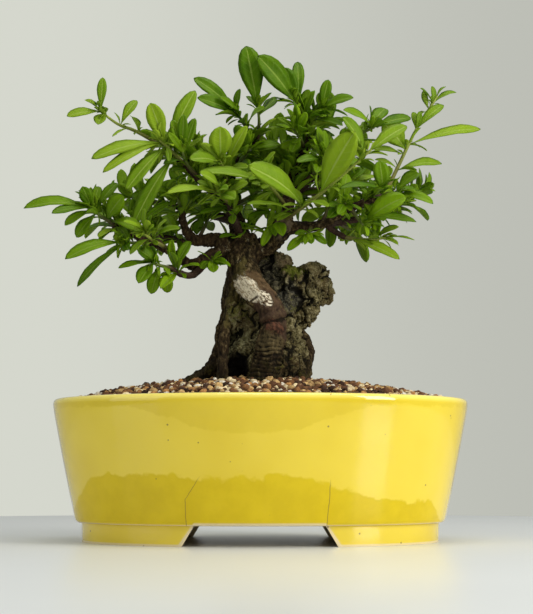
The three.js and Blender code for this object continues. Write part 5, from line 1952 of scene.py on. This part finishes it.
def leaf_finish(name, deep, fresh, rib, through, gloss):
    """A leaf's two greens, its rib and veins, the light that comes through it, and its roughness."""
    paint = Finish(name)
    share, across = paint.parts(paint.node("UVMap", {"uv_map": "leaf"}))[:2]
    across = abs(across - 0.5) * 2
    where = paint.place()
    under = paint.step(paint.attribute("under"), 0.35, 0.65)
    cloud = paint.noise(where, 9, 2)
    fine = paint.noise(where, 1.1, 2)
    vein_run = (share * SIDE_VEINS - across * 1.5) % 1
    vein = paint.step(abs(vein_run - 0.5), 0.36, 0.47) * paint.step(across, 1.0, 0.7) * 0.5
    midrib = paint.step(across, 0.13 - share * 0.05, 0.045)
    colour = paint.layers(
        paint.mix(paint.attribute("tone") + wander(cloud, 0.5), deep, fresh),
        # Painted shade: each leaf is darkened towards its foot, inside the crown.
        (paint.step(share, 0.35, 0.02) * 0.4, deep),
        (vein * 0.22, rib),
        (midrib * 0.8, rib),
        (paint.step(across, 0.9, 1.0) * 0.25, rib),
        (under * 0.5, tuple(0.45 * a + 0.55 * b for a, b in zip(rib, fresh))),
    )
    skin = paint.surface(
        Base_Color=colour,
        Roughness=gloss + under * 0.22 + wander(fine, 0.1),
        Specular_IOR_Level=0.25,
        Specular_Tint=LEAF_SHEEN,
        Normal=paint.bump(fine * 0.25 - vein * 0.7 - midrib * 0.5, 0.25),
    )
    glow = paint.node("BsdfTranslucent", inputs={"Color": through})
    return paint.end(paint.node("MixShader", inputs={0: LIGHT_THROUGH, 1: skin, 2: glow}))


# %% Mature and young leaves
LEAF_LOOKS = {
    "mature": leaf_finish(
        "mature_leaf",
        deep=(0.051, 0.128, 0.002),
        fresh=(0.280, 0.460, 0.006),
        rib=(0.25, 0.36, 0.05),
        through=(0.27, 0.54, 0.006),
        gloss=0.40,
    ),
    "young": leaf_finish(
        "young_leaf",
        deep=(0.105, 0.210, 0.006),
        fresh=(0.35, 0.49, 0.022),
        rib=(0.38, 0.49, 0.09),
        through=(0.40, 0.66, 0.025),
        gloss=0.42,
    ),
}


# %% Green stems
def stem_finish(name, old, young):
    """Woody at the foot and green towards the tip."""
    paint = Finish(name)
    fine = paint.noise(paint.place(), 1.0, 3)
    colour = paint.layers(
        paint.mix(paint.step(paint.attribute("tone"), 0.05, 0.6), old, young),
        (paint.step(fine, 0.35, 0.7) * 0.4, tuple(part * 0.45 for part in old)),
    )
    skin = paint.surface(
        Base_Color=colour,
        Roughness=0.55,
        Specular_IOR_Level=0.12,
        Normal=paint.bump(fine, 0.2),
    )
    return paint.end(skin)


STEM_LOOKS = {
    "mature": stem_finish("mature_stem", (0.075, 0.048, 0.026), (0.12, 0.17, 0.03)),
    "young": stem_finish("young_stem", (0.14, 0.125, 0.035), (0.28, 0.34, 0.055)),
}

# %% The shoots
STEM_SIDES = 8
STEM_STEPS = 4
STEM_FOOT = 1.5
STEM_TAPER = 0.75
FRESHEST = {"mature": 0.25, "young": 0.5}


def smooth_stem(angle, run):
    """The skin of a green stem: even all round and all along."""
    return 1.0


total_leaves = 0
for row, (name, (kind, points, filling_length, poses)) in enumerate(shoots.items()):
    last = len(points) - 1
    line = [(*point, STEM_FOOT - STEM_TAPER * k / last) for k, point in enumerate(points)]
    leaves = [(pose, FRESHEST[kind] * (1 - 0.8 * k / len(poses))) for k, pose in enumerate(poses)]
    leaves += small_leaves(points, poses, row)
    if filling_length:
        leaves += filling_leaves(points, filling_length, row)
    shoot = shoot_mesh("shoot_" + name, leaves, tube(line, STEM_SIDES, STEM_STEPS, smooth_stem))
    shoot.data.materials.append(LEAF_LOOKS[kind])
    shoot.data.materials.append(STEM_LOOKS[kind])
    total_leaves += len(leaves)
    hand_over(shoot, "leaf_" + kind, "spray_" + name)
print("all leaves:", total_leaves)

# %% [markdown]
# ### Spurs
#
# The oldest twigs also carry short spurs: tufts of four to six small leaves straight from the bark.
# They close the gaps in the middle of the crown. They are strewn by rule along the upper parts of the
# limbs, so that the bare wood near the trunk stays mostly bare, as on a well kept bonsai. Only at the
# fork do a few sprigs break from the old bark. Those are placed one by one.

# %% Where spurs and sprigs grow
# For each limb or twig, the share of its length from which it has spurs. For each sprig, its foot and
# the way it leaves the bark.
SPURRED = {
    "right_limb": 0.42, "left_limb": 0.26, "left_branch": 0.78, "left_long_branch": 0.75,
    "right_branch": 0.75, "upper_left_branch": 0.2, "right_top_branch": 0.2, "back_left_branch": 0.25,
    "back_branch": 0.25, "back_right_branch": 0.25, "low_left_branch": 0.5, "low_right_branch": 0.45,
    "left_low_twig": 0.7, "far_left_twig": 0.4, "front_twig": 0.3,
}
FORK_SPRIGS = [
    ((5, -14, 206), (-0.5, -0.3, 0.8)),
    ((-6, -11, 207), (0.5, -0.4, 0.8)),
    ((10, -18, 214), (0.1, -0.8, -0.1)),
    ((12, -15, 221), (-0.7, -0.4, 0.4)),
    ((14, -8, 228), (-0.8, -0.1, 0.2)),
    ((-13, -13, 204), (-0.3, -0.8, 0.9)),
]
SPUR_PITCH = 3.7
SPUR_END = 0.985
FRESH_SHARE = 0.3
SPRIG_LEAVES = 5

# %% Leaves of the spurs and sprigs
tuft_leaves = {"mature": [], "young": []}
for row, (name, start) in enumerate(SPURRED.items()):
    line = np.array({**THICK_LIMBS, **TWIGS}[name], float)
    middles = line[:, :3]
    reach = sum(np.linalg.norm(middles[k + 1] - middles[k]) for k in range(len(line) - 1))
    count = int(reach * (1 - start) / SPUR_PITCH)
    for k in range(count):
        share = start + (SPUR_END - start) * (k + chance(row, k, 61)) / count
        ahead = direction_at(middles, share)
        side = unit(np.cross(ahead, np.array([chance(row, k, 62) - 0.5, chance(row, k, 63) - 0.5, 0.4])))
        out = unit(side * (1 if k % 2 else -1) + np.array([0, 0, 0.35]))
        foot = curve_point(middles, share) + out * radius_at(line, share) * 0.7
        kind = "young" if chance(row, k, 67) < FRESH_SHARE else "mature"
        for n in range(4 + int(3 * chance(row, k, 64))):
            size = between(11, 25, row, k, n, 65)
            pose = near_leaf(foot, unit(out + 0.5 * ahead), size, 62, row + 100, k, n)
            tuft_leaves[kind].append((pose, between(0, 0.8, row, k, n, 66)))
for row, (foot, ahead) in enumerate(FORK_SPRIGS):
    for n in range(SPRIG_LEAVES):
        size = between(13, 23, row, n, 68)
        pose = near_leaf(np.array(foot, float), unit(np.array(ahead)), size, 58, row + 200, n)
        tuft_leaves["mature"].append((pose, between(0, 0.7, row, n, 69)))
print("leaves in tufts:", {kind: len(leaves) for kind, leaves in tuft_leaves.items()})

# %% Spur tufts
for kind, leaves in tuft_leaves.items():
    tufts = shoot_mesh("spur_tufts_" + kind, leaves)
    tufts.data.materials.append(LEAF_LOOKS[kind])
    hand_over(tufts, "leaf_" + kind)

# %% [markdown]
# ## The sizes at the end
#
# The dressed object has to stay the size of the imported model. Both boxes are printed.

# %% Sizes
size = {
    "cad": [list(corner) for corner in cad_box],
    "visual": [list(corner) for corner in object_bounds()],
}
print("sizes:", size)
